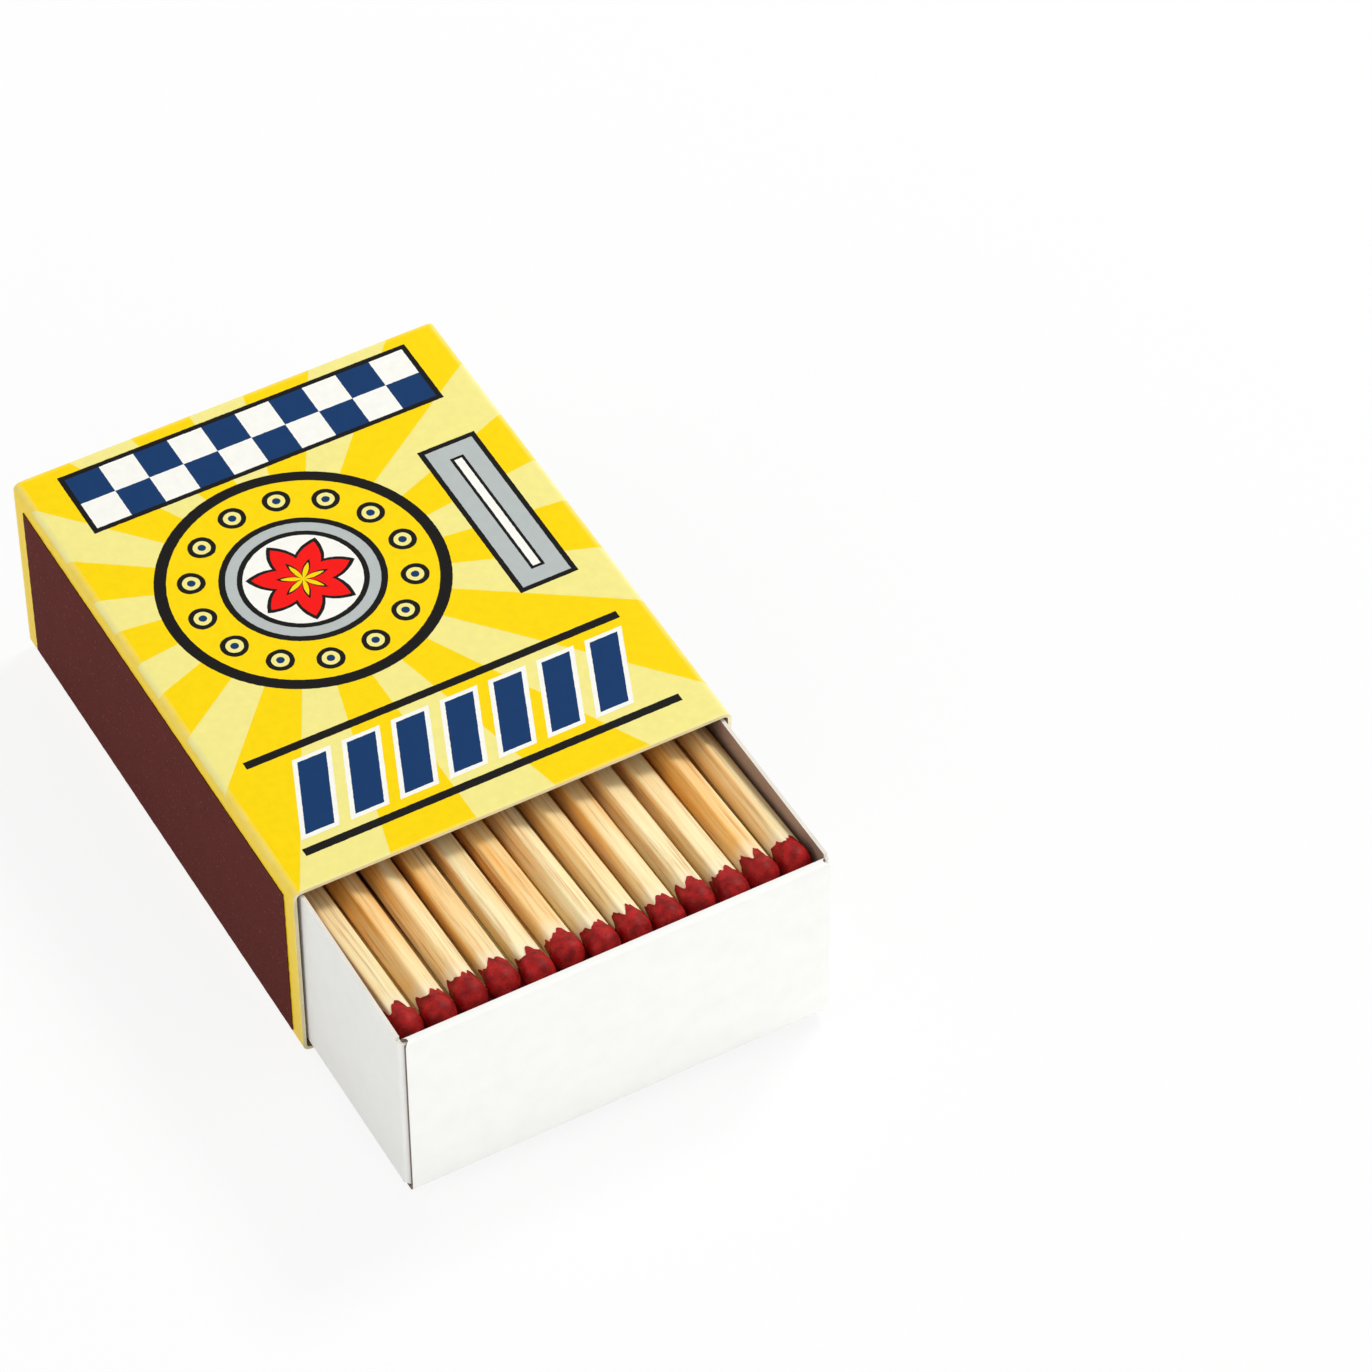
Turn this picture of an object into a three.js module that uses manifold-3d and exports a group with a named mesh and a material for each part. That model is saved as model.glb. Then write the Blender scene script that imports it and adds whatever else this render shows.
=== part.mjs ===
// A card matchbox: a printed sleeve, a tray that slides through it, and wooden matches.
// Millimetres. X runs across the box, Y along it (the tray opens towards -Y), Z is up.
// The origin is the centre of the sleeve's underside.

import * as THREE from 'three';
import { mergeVertices } from 'three/addons/utils/BufferGeometryUtils.js';
import Module from 'manifold-3d';

// Sleeve
const sleeveWidth = 50;
const sleeveLength = 65;
const sleeveHeight = 25;
const sleeveCard = 0.4;
const sleeveFoldRadius = 0.9;
const glueFlapWidth = 11;
const seamSetback = 1.5;

// Striking strips, printed thick on the long sides
const strikerThickness = 0.12;
const strikerEndMargin = 2.2;
const strikerTopMargin = 2.2;
const strikerBottomMargin = 1.5;

// Tray
const trayCard = 0.4;
const trayGlueLine = 0.02;
const trayFoldRadius = 0.8;
const traySideClearance = 0.3;
const trayTopClearance = 0.3;
const trayUnderClearance = 0.3;
const trayEndSetback = 0.2;
const trayOpening = 22;
const cornerTabLength = 10;
const endPanelEdgeGap = 0.25;
const endPanelCornerRadius = 1.1;
const endFlapFloorGap = 0.6;

// Matches
const splintSide = 2.5;
const splintBevel = 0.25;
const matchTailGap = 0.75;
const headLength = 4.3;
const headCap = 0.7;
const headCoat = 0.12;
const headNeckCoat = 0.1;
const headShoulder = 1.7;
const headTongue = 1.1;
const headSocketClearance = 0.05;

// How the matches lie
const looseRowCount = 2;
const headNestGap = 0.05;
const headSideGap = 0.1;
const headWallGap = 0.2;
const headEndGap = 0.35;
const headSetback = 1.1;
const headBelowRim = 0.4;
const restGap = 0.06;
const splintSideGap = 0.12;
const splintPress = 0.06;
const topRoll = THREE.MathUtils.degToRad(40);
const lowerRoll = THREE.MathUtils.degToRad(4);
const leastTailShare = 0.25;
const rowSeed = 20251;

// Facets of the round stretches
const foldSteps = 6;
const headNoseRings = 3;
const headWaistRings = 2;
const packedHeadSides = 8;
const mergeDistance = 1e-5;

const colours = {
  print: { color: 0xffda00, roughness: 0.45 },
  striker: { color: 0x5a2a26, roughness: 0.9 },
  card: { color: 0xfdfdfa, roughness: 0.75 },
  wood: { color: 0xfce6a6, roughness: 0.7 },
  head: { color: 0x9e1616, roughness: 0.6 },
};

const wasm = await Module();
wasm.setup();

// Turns a closed three.js geometry into a solid that can be joined and cut.
function solidOf(geometry) {
  const bare = geometry.clone();
  bare.deleteAttribute('normal');
  bare.deleteAttribute('uv');
  const merged = mergeVertices(bare, mergeDistance);
  const corners = merged.index.array;
  const triVerts = [];
  for (let i = 0; i < corners.length; i += 3) {
    const [a, b, c] = corners.slice(i, i + 3);
    if (a !== b && b !== c && c !== a) triVerts.push(a, b, c);
  }
  return new wasm.Manifold(new wasm.Mesh({
    numProp: 3,
    vertProperties: new Float32Array(merged.attributes.position.array),
    triVerts: new Uint32Array(triVerts),
  }));
}

function geometryOf(solid) {
  const { vertProperties, triVerts } = solid.getMesh();
  const geometry = new THREE.BufferGeometry();
  geometry.setAttribute('position', new THREE.BufferAttribute(vertProperties, 3));
  geometry.setIndex(new THREE.BufferAttribute(triVerts, 1));
  return geometry;
}

function meshOf(name, finish, geometry) {
  const mesh = new THREE.Mesh(geometry, new THREE.MeshStandardMaterial({ ...finish, metalness: 0 }));
  mesh.name = name;
  return mesh;
}

// Points of an outline with right-angled corners, each given as [u, v, radius].
function roundedCorners(corners) {
  const points = [];
  corners.forEach(([u, v, radius = 0], i) => {
    const here = new THREE.Vector2(u, v);
    const before = corners.at(i - 1);
    const after = corners[(i + 1) % corners.length];
    const toBefore = new THREE.Vector2(before[0], before[1]).sub(here).setLength(radius);
    const toAfter = new THREE.Vector2(after[0], after[1]).sub(here).setLength(radius);
    const centre = here.clone().add(toBefore).add(toAfter);
    const steps = radius > 0 ? foldSteps : 0;
    for (let k = 0; k <= steps; k += 1) {
      const angle = steps > 0 ? (Math.PI / 2) * (k / steps) : 0;
      points.push(centre.clone()
        .addScaledVector(toAfter, -Math.cos(angle))
        .addScaledVector(toBefore, -Math.sin(angle)));
    }
  });
  return points;
}

// Extrusions of an outline: (x, z) along Y, (y, z) along X, and (x, y) along Z.
function extrude(shape, depth) {
  return new THREE.ExtrudeGeometry(shape, { depth, bevelEnabled: false });
}

function extrudeY(shape, from, to) {
  return extrude(shape, to - from).rotateX(Math.PI / 2).translate(0, to, 0);
}

function extrudeX(shape, from, to) {
  return extrude(shape, to - from).rotateX(Math.PI / 2).rotateZ(Math.PI / 2).translate(from, 0, 0);
}

function extrudeZ(shape, from, to) {
  return extrude(shape, to - from).translate(0, 0, from);
}

// The sleeve's section: the card starts at a cut edge under the left fold, runs round the box and
// ends in a flap that is glued inside, on top of the bottom panel.
function sleeve() {
  const side = sleeveWidth / 2;
  const innerRadius = sleeveFoldRadius - sleeveCard;
  const cutEdge = -side + seamSetback;
  const flapEdge = -side + sleeveCard + glueFlapWidth;
  const flapTop = 2 * sleeveCard;
  const section = new THREE.Shape(roundedCorners([
    [cutEdge, 0],
    [side, 0, sleeveFoldRadius],
    [side, sleeveHeight, sleeveFoldRadius],
    [-side, sleeveHeight, sleeveFoldRadius],
    [-side, sleeveCard, sleeveFoldRadius],
    [cutEdge, sleeveCard],
  ]));
  section.holes.push(new THREE.Path(roundedCorners([
    [flapEdge, sleeveCard],
    [side - sleeveCard, sleeveCard, innerRadius],
    [side - sleeveCard, sleeveHeight - sleeveCard, innerRadius],
    [-side + sleeveCard, sleeveHeight - sleeveCard, innerRadius],
    [-side + sleeveCard, flapTop, innerRadius],
    [flapEdge, flapTop],
  ])));
  return meshOf('sleeve', colours.print, extrudeY(section, -sleeveLength / 2, sleeveLength / 2));
}

function striker(name, direction) {
  const height = sleeveHeight - strikerTopMargin - strikerBottomMargin;
  const strip = new THREE.BoxGeometry(strikerThickness, sleeveLength - 2 * strikerEndMargin, height);
  const mesh = meshOf(name, colours.striker, strip);
  mesh.position.set(
    direction * (sleeveWidth + strikerThickness) / 2,
    0,
    strikerBottomMargin + height / 2,
  );
  return mesh;
}

// The tray, measured from its own middle. It clears the glued flap, which is the sleeve's highest floor.
const trayWidth = sleeveWidth - 2 * (sleeveCard + traySideClearance);
const trayLength = sleeveLength - 2 * trayEndSetback;
const trayBottom = 2 * sleeveCard + trayUnderClearance;
const trayRim = sleeveHeight - sleeveCard - trayTopClearance;
const trayFloor = trayBottom + trayCard;
const endWallThickness = 3 * trayCard;
const trayEndReach = 2 * (trayCard + trayFoldRadius);
const trayInnerWidth = trayWidth - 2 * trayCard;
const trayInnerLength = trayLength - 2 * endWallThickness;
const matchLength = trayInnerLength - headEndGap - headSetback - matchTailGap;

// Base and long walls: one channel, which stops where the corner tabs turn in.
function trayChannel() {
  const side = trayWidth / 2;
  const innerRadius = trayFoldRadius - trayCard;
  const end = trayLength / 2 - trayCard - trayFoldRadius;
  const section = new THREE.Shape(roundedCorners([
    [-side, trayRim],
    [-side, trayBottom, trayFoldRadius],
    [side, trayBottom, trayFoldRadius],
    [side, trayRim],
    [side - trayCard, trayRim],
    [side - trayCard, trayFloor, innerRadius],
    [-side + trayCard, trayFloor, innerRadius],
    [-side + trayCard, trayRim],
  ]));
  return solidOf(extrudeY(section, -end, end));
}

// The end panel folds up from the base, rolls over the corner tabs and comes down inside them.
// Its free edge stops short of the floor.
function trayEnd() {
  const front = -trayLength / 2;
  const innerRadius = trayFoldRadius - trayCard;
  const back = front + trayEndReach;
  const halfWidth = trayWidth / 2 - endPanelEdgeGap;
  const section = new THREE.Shape(roundedCorners([
    [back, trayBottom],
    [front, trayBottom, trayFoldRadius],
    [front, trayRim, trayFoldRadius / 2],
    [front + endWallThickness, trayRim, trayFoldRadius / 2],
    [front + endWallThickness, trayFloor + endFlapFloorGap],
    [front + endWallThickness - trayCard, trayFloor + endFlapFloorGap],
    [front + endWallThickness - trayCard, trayRim - trayCard],
    [front + trayCard, trayRim - trayCard],
    [front + trayCard, trayFloor, innerRadius],
    [back, trayFloor],
  ]));
  const outline = new THREE.Shape(roundedCorners([
    [-halfWidth, trayBottom - trayCard],
    [halfWidth, trayBottom - trayCard],
    [halfWidth, trayRim, endPanelCornerRadius],
    [-halfWidth, trayRim, endPanelCornerRadius],
  ]));
  const panel = solidOf(extrudeX(section, -halfWidth, halfWidth));
  return panel.intersect(solidOf(extrudeY(outline, front - trayCard, back + trayCard)));
}

// A corner tab: the long wall turns in behind the end panel, glued to it on both faces and at the top.
// Direction is -1 on the left, 1 on the right.
function cornerTab(direction) {
  const front = -trayLength / 2;
  const side = trayWidth / 2;
  const innerRadius = trayFoldRadius - trayCard;
  const back = front + trayEndReach;
  const outerFace = front + trayCard - trayGlueLine;
  const innerFace = front + 2 * trayCard + trayGlueLine;
  const section = new THREE.Shape(roundedCorners([
    [direction * side, back],
    [direction * side, outerFace, trayFoldRadius],
    [direction * (side - cornerTabLength), outerFace],
    [direction * (side - cornerTabLength), innerFace],
    [direction * (side - trayCard), innerFace, innerRadius],
    [direction * (side - trayCard), back],
  ]));
  return solidOf(extrudeZ(section, trayBottom + trayFoldRadius, trayRim - trayCard + trayGlueLine));
}

function tray() {
  const end = trayEnd().add(cornerTab(-1)).add(cornerTab(1));
  return meshOf('tray', colours.card, geometryOf(trayChannel().add(end).add(end.rotate([0, 0, 180]))));
}

// A match lies along its own +Y: the head's tip is at 0 and the splint's tail at matchLength.
function splintSection(growth = 0) {
  const half = splintSide / 2 + growth;
  const flat = splintSide / 2 - splintBevel;
  return new THREE.Shape([
    [half, -flat], [half, flat], [flat, half], [-flat, half],
    [-half, flat], [-half, -flat], [-flat, -half], [flat, -half],
  ].map(([x, z]) => new THREE.Vector2(x, z)));
}

function splint() {
  return extrudeY(splintSection(), headCap + headSocketClearance, matchLength);
}

const splintCornerRadius = Math.hypot(splintSide / 2, splintSide / 2 - splintBevel);
const headRadius = splintCornerRadius + headSocketClearance + headCoat;

// The plainer bulb of a hidden head: a blunt nose on a straight barrel.
function packedBulb() {
  const profile = [
    [0, 0],
    [headRadius / 2, 0],
    [headRadius, headShoulder],
    [headRadius, headLength],
    [0, headLength],
  ];
  return new THREE.LatheGeometry(profile.map(([r, y]) => new THREE.Vector2(r, y)), packedHeadSides);
}

// Twelve points round a splint: each face's centre line, then the two bevelled edges after it.
function roundSplint(growth) {
  const half = splintSide / 2 + growth;
  const flat = splintSide / 2 - splintBevel;
  const quarter = [[half, 0], [half, flat], [flat, half]];
  return [0, 1, 2, 3].flatMap((turn) => quarter.map(([x, z]) => (
    new THREE.Vector2(x, z).rotateAround(new THREE.Vector2(), turn * Math.PI / 2)
  )));
}

// A closed skin over rings of points, from one middle point to another.
function ringedSurface(first, rings, last) {
  const sides = rings[0].length;
  const positions = [first, ...rings.flat(), last].flatMap((point) => point.toArray());
  const end = positions.length / 3 - 1;
  const at = (ring, side) => 1 + ring * sides + (side % sides);
  const index = [];
  for (let side = 0; side < sides; side += 1) {
    index.push(0, at(0, side), at(0, side + 1));
    for (let ring = 1; ring < rings.length; ring += 1) {
      index.push(at(ring - 1, side), at(ring, side), at(ring, side + 1));
      index.push(at(ring - 1, side), at(ring, side + 1), at(ring - 1, side + 1));
    }
    index.push(end, at(rings.length - 1, side + 1), at(rings.length - 1, side));
  }
  const geometry = new THREE.BufferGeometry();
  geometry.setAttribute('position', new THREE.Float32BufferAttribute(positions, 3));
  geometry.setIndex(index);
  return geometry;
}

// The dipped head of a loose match: a round nose up to the shoulder, a waist down to the neck, and a
// socket for the splint's tip. The coat ends in a tongue on each face and draws back from the edges.
function head() {
  const socket = roundSplint(headSocketClearance);
  const place = (point, radius, y) => {
    const out = point.clone().setLength(radius);
    return new THREE.Vector3(out.x, y, out.y);
  };
  const neck = socket.map((point, i) => ({
    radius: point.length() + headNeckCoat,
    y: headLength - (i % 3 === 0 ? 0 : headTongue),
  }));
  const rings = [];
  for (let k = 1; k <= headNoseRings; k += 1) {
    const angle = (Math.PI / 2) * (k / headNoseRings);
    const y = headShoulder * (1 - Math.cos(angle));
    rings.push(socket.map((point) => place(point, headRadius * Math.sin(angle), y)));
  }
  for (let k = 1; k <= headWaistRings; k += 1) {
    const waist = (1 - Math.cos(Math.PI * (k / headWaistRings))) / 2;
    rings.push(socket.map((point, i) => place(
      point,
      THREE.MathUtils.lerp(headRadius, neck[i].radius, waist),
      THREE.MathUtils.lerp(headShoulder, neck[i].y, k / headWaistRings),
    )));
  }
  rings.push(socket.map((point, i) => place(point, point.length(), neck[i].y)));
  rings.push(socket.map((point) => place(point, point.length(), headCap)));
  return ringedSurface(new THREE.Vector3(), rings, new THREE.Vector3(0, headCap, 0));
}

// A steady sequence of numbers from 0 to 1, so that the matches lie unevenly but always the same.
function sequence(seed) {
  const factor = 7 ** 5;
  const limit = 2 ** 31 - 1;
  let state = seed;
  return () => {
    state = (state * factor) % limit;
    return state / limit;
  };
}

// Rows of heads fill the tray's width and depth, each row nested on the one below. Row 0 is the top one.
const headDiameter = 2 * headRadius;
const headSpan = trayInnerWidth - 2 * headWallGap - headDiameter;
const matchesPerRow = Math.floor(headSpan / (headDiameter + headSideGap)) + 1;
const headPitch = headSpan / (matchesPerRow - 1);
const topHeadHeight = trayRim - headBelowRim - headRadius;
const bottomHeadHeight = trayFloor + restGap + headRadius;
const nestRise = Math.sqrt((headDiameter + headNestGap) ** 2 - (headPitch / 2) ** 2);
const rowCount = Math.floor((topHeadHeight - bottomHeadHeight) / nestRise) + 1;
const headRise = (topHeadHeight - bottomHeadHeight) / (rowCount - 1);

// Width and height of a splint that is rolled about its own length.
function rolledSize(roll) {
  return splintSide * (Math.abs(Math.cos(roll)) + Math.abs(Math.sin(roll)));
}

// The tails of a row, shared out over the tray's width with uneven gaps between them.
function tailPlaces(sizes, draw) {
  const room = trayInnerWidth - sizes.reduce((sum, size) => sum + size + splintSideGap, splintSideGap);
  const shares = [...sizes, 0].map(() => leastTailShare + draw());
  const total = shares.reduce((sum, share) => sum + share, 0);
  let edge = -trayInnerWidth / 2;
  return sizes.map((size, i) => {
    edge += splintSideGap + room * (shares[i] / total);
    const place = edge + size / 2;
    edge += size;
    return place;
  });
}

// Rows from the top one down. Each has its own sequence, so a row stays as it is when others change.
function matchRows() {
  return Array.from({ length: rowCount }, (_, row) => {
    const draw = sequence(rowSeed + row);
    const packed = row >= looseRowCount;
    const rollLimit = row === 0 ? topRoll : lowerRoll;
    const rolls = Array.from({ length: matchesPerRow - (row % 2) }, () => (packed ? 0 : rollLimit * draw()));
    return { row, packed, rolls, draw };
  });
}

// Where each match's head and tail lie, worked out from the floor up and listed from the top down.
// Packed rows press on each other at their tails, and a loose row lies on the highest splint below it.
function matchPlaces() {
  const front = -trayInnerLength / 2 + headEndGap;
  const places = [];
  let rowTop = trayFloor;
  for (const { row, packed, rolls, draw } of matchRows().reverse()) {
    const sizes = rolls.map(rolledSize);
    const tails = packed ? null : tailPlaces(sizes, draw);
    const onPackedRow = packed && rowTop > trayFloor;
    const rest = rowTop + (onPackedRow ? -splintPress : restGap);
    rolls.forEach((roll, i) => {
      const x = (i - (rolls.length - 1) / 2) * headPitch;
      const y = front + (packed ? headSetback / 2 : headSetback * draw());
      const head = new THREE.Vector3(x, y, topHeadHeight - row * headRise);
      const tail = new THREE.Vector3(packed ? x : tails[i], y + matchLength, rest + sizes[i] / 2);
      places.push({ row, packed, roll, head, tail });
    });
    rowTop = rest + Math.max(...sizes);
  }
  return places.sort((a, b) => a.row - b.row);
}

// Turns a piece that lies along +Y onto the line from the head to the tail.
function lay(object, { head: from, tail: to, roll }) {
  const along = to.clone().sub(from).normalize();
  object.position.copy(from);
  object.quaternion.setFromUnitVectors(new THREE.Vector3(0, 1, 0), along);
  object.rotateY(roll);
  object.updateMatrix();
  return object;
}

// The hidden rows are one piece: heads joined to their splints, splints pressed together at the tails.
function packedMatches(places) {
  const splintBody = new THREE.BoxGeometry(splintSide, matchLength - headShoulder, splintSide)
    .translate(0, (matchLength + headShoulder) / 2, 0);
  const one = solidOf(packedBulb()).add(solidOf(splintBody));
  const solids = places.map((place) => {
    const matrix = lay(new THREE.Object3D(), place).matrix;
    return one.transform(matrix.elements);
  });
  return meshOf('packed_matches', colours.wood, geometryOf(wasm.Manifold.union(solids)));
}

function looseMatch(place, number) {
  const match = lay(new THREE.Group(), place);
  match.add(meshOf(`match_${number}_splint`, colours.wood, splint()));
  match.add(meshOf(`match_${number}_head`, colours.head, head()));
  return match;
}

const drawer = new THREE.Group();
drawer.position.y = -(trayOpening + trayEndSetback);
drawer.add(tray());
const places = matchPlaces();
places.filter(({ packed }) => !packed).forEach((place, i) => {
  drawer.add(looseMatch(place, String(i + 1).padStart(2, '0')));
});
drawer.add(packedMatches(places.filter(({ packed }) => packed)));

const matchbox = new THREE.Group();
matchbox.add(sleeve(), striker('striker_left', -1), striker('striker_right', 1), drawer);

export default matchbox;
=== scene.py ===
# %% [markdown]
# # A card matchbox
#
# This lesson dresses a matchbox: a printed sleeve, a white tray half pulled out, and a layer of wooden
# matches with dipped red heads. The solids of every piece are already there at their real size. What is
# added here is what the eye reads as real: folded card with cut edges, ink on board, gritty striking
# strips, split wood and lumpy match heads.
#
# All lengths below are millimetres, and they are turned to metres only when a mesh is written.

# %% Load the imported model
import math

import bpy
import numpy as np
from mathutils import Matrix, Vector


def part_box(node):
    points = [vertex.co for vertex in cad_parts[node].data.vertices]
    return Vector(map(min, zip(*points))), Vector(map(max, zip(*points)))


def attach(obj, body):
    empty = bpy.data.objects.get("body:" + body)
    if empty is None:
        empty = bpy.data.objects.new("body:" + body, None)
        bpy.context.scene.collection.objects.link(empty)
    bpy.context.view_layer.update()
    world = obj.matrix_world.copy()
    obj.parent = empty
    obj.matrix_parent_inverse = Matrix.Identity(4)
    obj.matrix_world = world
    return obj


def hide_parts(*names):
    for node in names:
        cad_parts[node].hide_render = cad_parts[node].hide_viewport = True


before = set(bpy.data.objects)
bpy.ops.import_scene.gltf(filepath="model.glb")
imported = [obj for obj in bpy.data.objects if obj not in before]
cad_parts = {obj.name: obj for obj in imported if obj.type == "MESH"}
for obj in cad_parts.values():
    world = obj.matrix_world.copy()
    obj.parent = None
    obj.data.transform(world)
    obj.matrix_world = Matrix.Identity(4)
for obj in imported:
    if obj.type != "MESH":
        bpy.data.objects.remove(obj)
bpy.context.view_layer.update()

MM = 0.001
scene = bpy.context.scene


# %% [markdown]
# ## Reading sizes from the frame
#
# A piece that dresses a solid must lie exactly where the solid lies. So no place is typed twice: each box
# is asked of the frame, in millimetres, and the new surface is worked out from its corners.

# %% Sizes from the frame
def extent(node):
    """Lowest and highest corner of a solid, in millimetres."""
    low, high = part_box(node)
    return np.array(low) / MM, np.array(high) / MM


sleeve_low, sleeve_high = extent("sleeve")
tray_low, tray_high = extent("tray")
tray_middle = (tray_low + tray_high) / 2
match_numbers = sorted({name.split("_")[1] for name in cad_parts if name.startswith("match_")})
print("sleeve", sleeve_high - sleeve_low, "tray", tray_high - tray_low, "loose matches", len(match_numbers))


# %% [markdown]
# ## One way to write a material
#
# A node tree is easier to read as code when every node is made by the same small function. It takes the
# kind of node, the values or links of its sockets, and its settings, and gives back the output that the
# next node needs. Colours are written as the hex values that a paint program shows, and turned to the
# linear values that light adds up in.
#
# Sockets go by their number where their names repeat. A Mix node has its factor at 0 and its two colours at
# 6 and 7, and a Map Range node turns the range 1 to 2 into the range 3 to 4.
#
# A noise or cell texture on coordinates in millimetres has a scale that counts features per millimetre. So
# a scale below is one over a real size: 2.5 per mm draws fibres 0.4 mm apart.

# %% Colours and nodes
def linear(hex_colour):
    """'#RRGGBB' as linear RGBA: each channel c becomes ((c + 0.055) / 1.055) ** 2.4 above the dark end."""
    channels = [int(hex_colour[i:i + 2], 16) / 255 for i in (1, 3, 5)]
    return tuple(c / 12.92 if c <= 0.04045 else ((c + 0.055) / 1.055) ** 2.4 for c in channels) + (1.0,)


def add(tree, kind, inputs=None, **settings):
    """Adds a node, sets its settings, links or fills its sockets, and returns its first live output."""
    node = tree.nodes.new(kind)
    for name, value in settings.items():
        setattr(node, name, value)
    for key, value in (inputs or {}).items():
        if isinstance(value, bpy.types.NodeSocket):
            tree.links.new(value, node.inputs[key])
        else:
            node.inputs[key].default_value = value
    return next((output for output in node.outputs if output.enabled), node)


def blank_material(name):
    """A new material with an empty tree."""
    material = bpy.data.materials.new(name)
    material.use_nodes = True
    material.node_tree.nodes.clear()
    return material, material.node_tree


def finish_material(tree, colour, roughness, normal=None, **constants):
    """Ends a tree in a Principled shader. Constants go straight on the shader's own sockets."""
    inputs = {"Base Color": colour, "Roughness": roughness}
    if normal is not None:
        inputs["Normal"] = normal
    inputs.update({name.replace("_", " "): value for name, value in constants.items()})
    shader = add(tree, "ShaderNodeBsdfPrincipled", inputs)
    add(tree, "ShaderNodeOutputMaterial", {"Surface": shader})


def millimetres(tree, scale=(1, 1, 1)):
    """Object coordinates in millimetres, times a scale that stretches or flattens a pattern."""
    place = add(tree, "ShaderNodeTexCoord").node.outputs["Object"]
    return add(tree, "ShaderNodeMapping", {"Vector": place, "Scale": tuple(s / MM for s in scale)})


print("yellow ink is", [round(c, 3) for c in linear("#FFDA00")], "in linear light")


# %% [markdown]
# ## Folding boxboard
#
# Both the sleeve and the tray are cut from folding boxboard about 0.4 mm thick. It is fibre pressed in
# layers, whiter on the outside than inside, so a sheet of it shows three surfaces: the good face, the back
# and the cut edge. One function makes them all, because they differ only in tone, fleck and roughness.
#
# The fibres are long and thin and lie at random. A slow noise gives the cloudy look of the sheet, and a
# finer one, at 0.4 mm drawn coarser than real fibres so that it shows, gives the bump.

# %% Card materials
CLOUDS_PER_MM = 0.35
FLECKS_PER_MM = 1.8
FIBRES_PER_MM = 2.5
FIBRE_RELIEF = 0.06
FLECK_STRETCH = (0.6, 1.6, 1.6)


def boxboard(name, face, cloud, strength, roughness, flecks=0.0):
    """Uncoated board: a face colour with a cloudier tone, fibre bump, and darker flecks where recycled."""
    material, tree = blank_material(name)
    place = millimetres(tree)
    clouds = add(tree, "ShaderNodeTexNoise", {"Vector": place, "Scale": CLOUDS_PER_MM, "Detail": 4.0})
    colour = add(tree, "ShaderNodeMix", {0: clouds, 6: linear(face), 7: linear(cloud)}, data_type="RGBA")
    if flecks:
        long_way = millimetres(tree, FLECK_STRETCH)
        specks = add(tree, "ShaderNodeTexNoise",
                     {"Vector": long_way, "Scale": FLECKS_PER_MM, "Detail": 5.0})
        mask = add(tree, "ShaderNodeMapRange", {0: specks, 1: 0.58, 2: 0.7, 3: 0.0, 4: flecks})
        colour = add(tree, "ShaderNodeMix", {0: mask, 6: colour, 7: linear("#5E4A3E")}, data_type="RGBA")
    fibres = add(tree, "ShaderNodeTexNoise",
                 {"Vector": place, "Scale": FIBRES_PER_MM, "Detail": 6.0, "Roughness": 0.65})
    normal = add(tree, "ShaderNodeBump",
                 {"Strength": strength, "Distance": FIBRE_RELIEF * MM, "Height": fibres})
    finish_material(tree, colour, roughness, normal, Specular_IOR_Level=0.35)
    return material


# Bleached board, rolled smooth: an even white with a faint cloud.
white_face = boxboard("bleached_boxboard_face", "#FBFBF8", "#F3F3EE", 0.25, 0.62)
# Recycled board, left rough: grey-brown with darker flecks.
grey_back = boxboard("recycled_boxboard_back", "#A88C79", "#93776A", 0.5, 0.85, flecks=0.35)
# White board cut by a die: a soft, slightly torn and warmer edge.
cut_edge = boxboard("bleached_board_cut_edge", "#F4F0E6", "#DCD5C8", 0.6, 0.9)
# Printed board cut by a die: its clay coat gives a cream edge.
cream_edge = boxboard("coated_board_cut_edge", "#F5EBC6", "#DDD0A4", 0.6, 0.9)
# Greyboard core, darker than the core itself: painted shadow of the gap, a thin dark line at the tray's
# corners.
core_and_gap_shadow = boxboard("greyboard_core_and_painted_gap_shadow", "#8A7B71", "#695B52", 0.6, 0.95)
print("card materials:", white_face.name, grey_back.name, cut_edge.name, cream_edge.name, core_and_gap_shadow.name)


# %% [markdown]
# ## Print on the sleeve
#
# The sleeve is printed by offset litho in a few flat inks under a thin varnish: a strong yellow all over,
# pale yellow, navy, red, grey and black on top. Flat ink has crisp edges, so the motifs are worked out as
# distances in millimetres, and an ink shows wherever its distance lies in a band. That stays sharp at any
# size, and needs no picture.
#
# The design is a plain one of its own: a many-rayed sun with a ring of beads, a chequered band, a row of
# slanted bars between rules, and a grey label.

# %% Print: the inks and how they are laid
INKS = {
    "yellow": "#FFDA00",
    "pale": "#F7EC8E",
    "navy": "#0B3768",
    "red": "#F8130F",
    "black": "#0D0B09",
    "grey": "#B9C0BE",
    "white": "#FBFAF2",
}
EVERYWHERE = 1000.0


def lay_ink(tree, under, distance, low, high, ink):
    """Prints an ink over a colour wherever a distance lies between low and high."""
    middle, half = (low + high) / 2, (high - low) / 2
    mask = add(tree, "ShaderNodeMath", {0: distance, 1: middle, 2: half}, operation="COMPARE")
    return add(tree, "ShaderNodeMix", {0: mask, 6: under, 7: linear(INKS[ink])}, data_type="RGBA")


def lay_rings(tree, colour, distance, rings):
    """Prints one ring after another, each from a low to a high distance in its ink."""
    for low, high, ink in rings:
        colour = lay_ink(tree, colour, distance, low, high, ink)
    return colour


def both(tree, *distances):
    """The shape where all the given shapes overlap: the largest of their distances."""
    together = distances[0]
    for distance in distances[1:]:
        together = add(tree, "ShaderNodeMath", {0: together, 1: distance}, operation="MAXIMUM")
    return together


def moved(tree, place, centre, angle=0.0):
    """A place measured from a centre and turned, both in the sheet's plane."""
    inputs = {"Vector": place, "Location": (*centre, 0), "Rotation": (0, 0, angle)}
    return add(tree, "ShaderNodeMapping", inputs, vector_type="TEXTURE")


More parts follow.
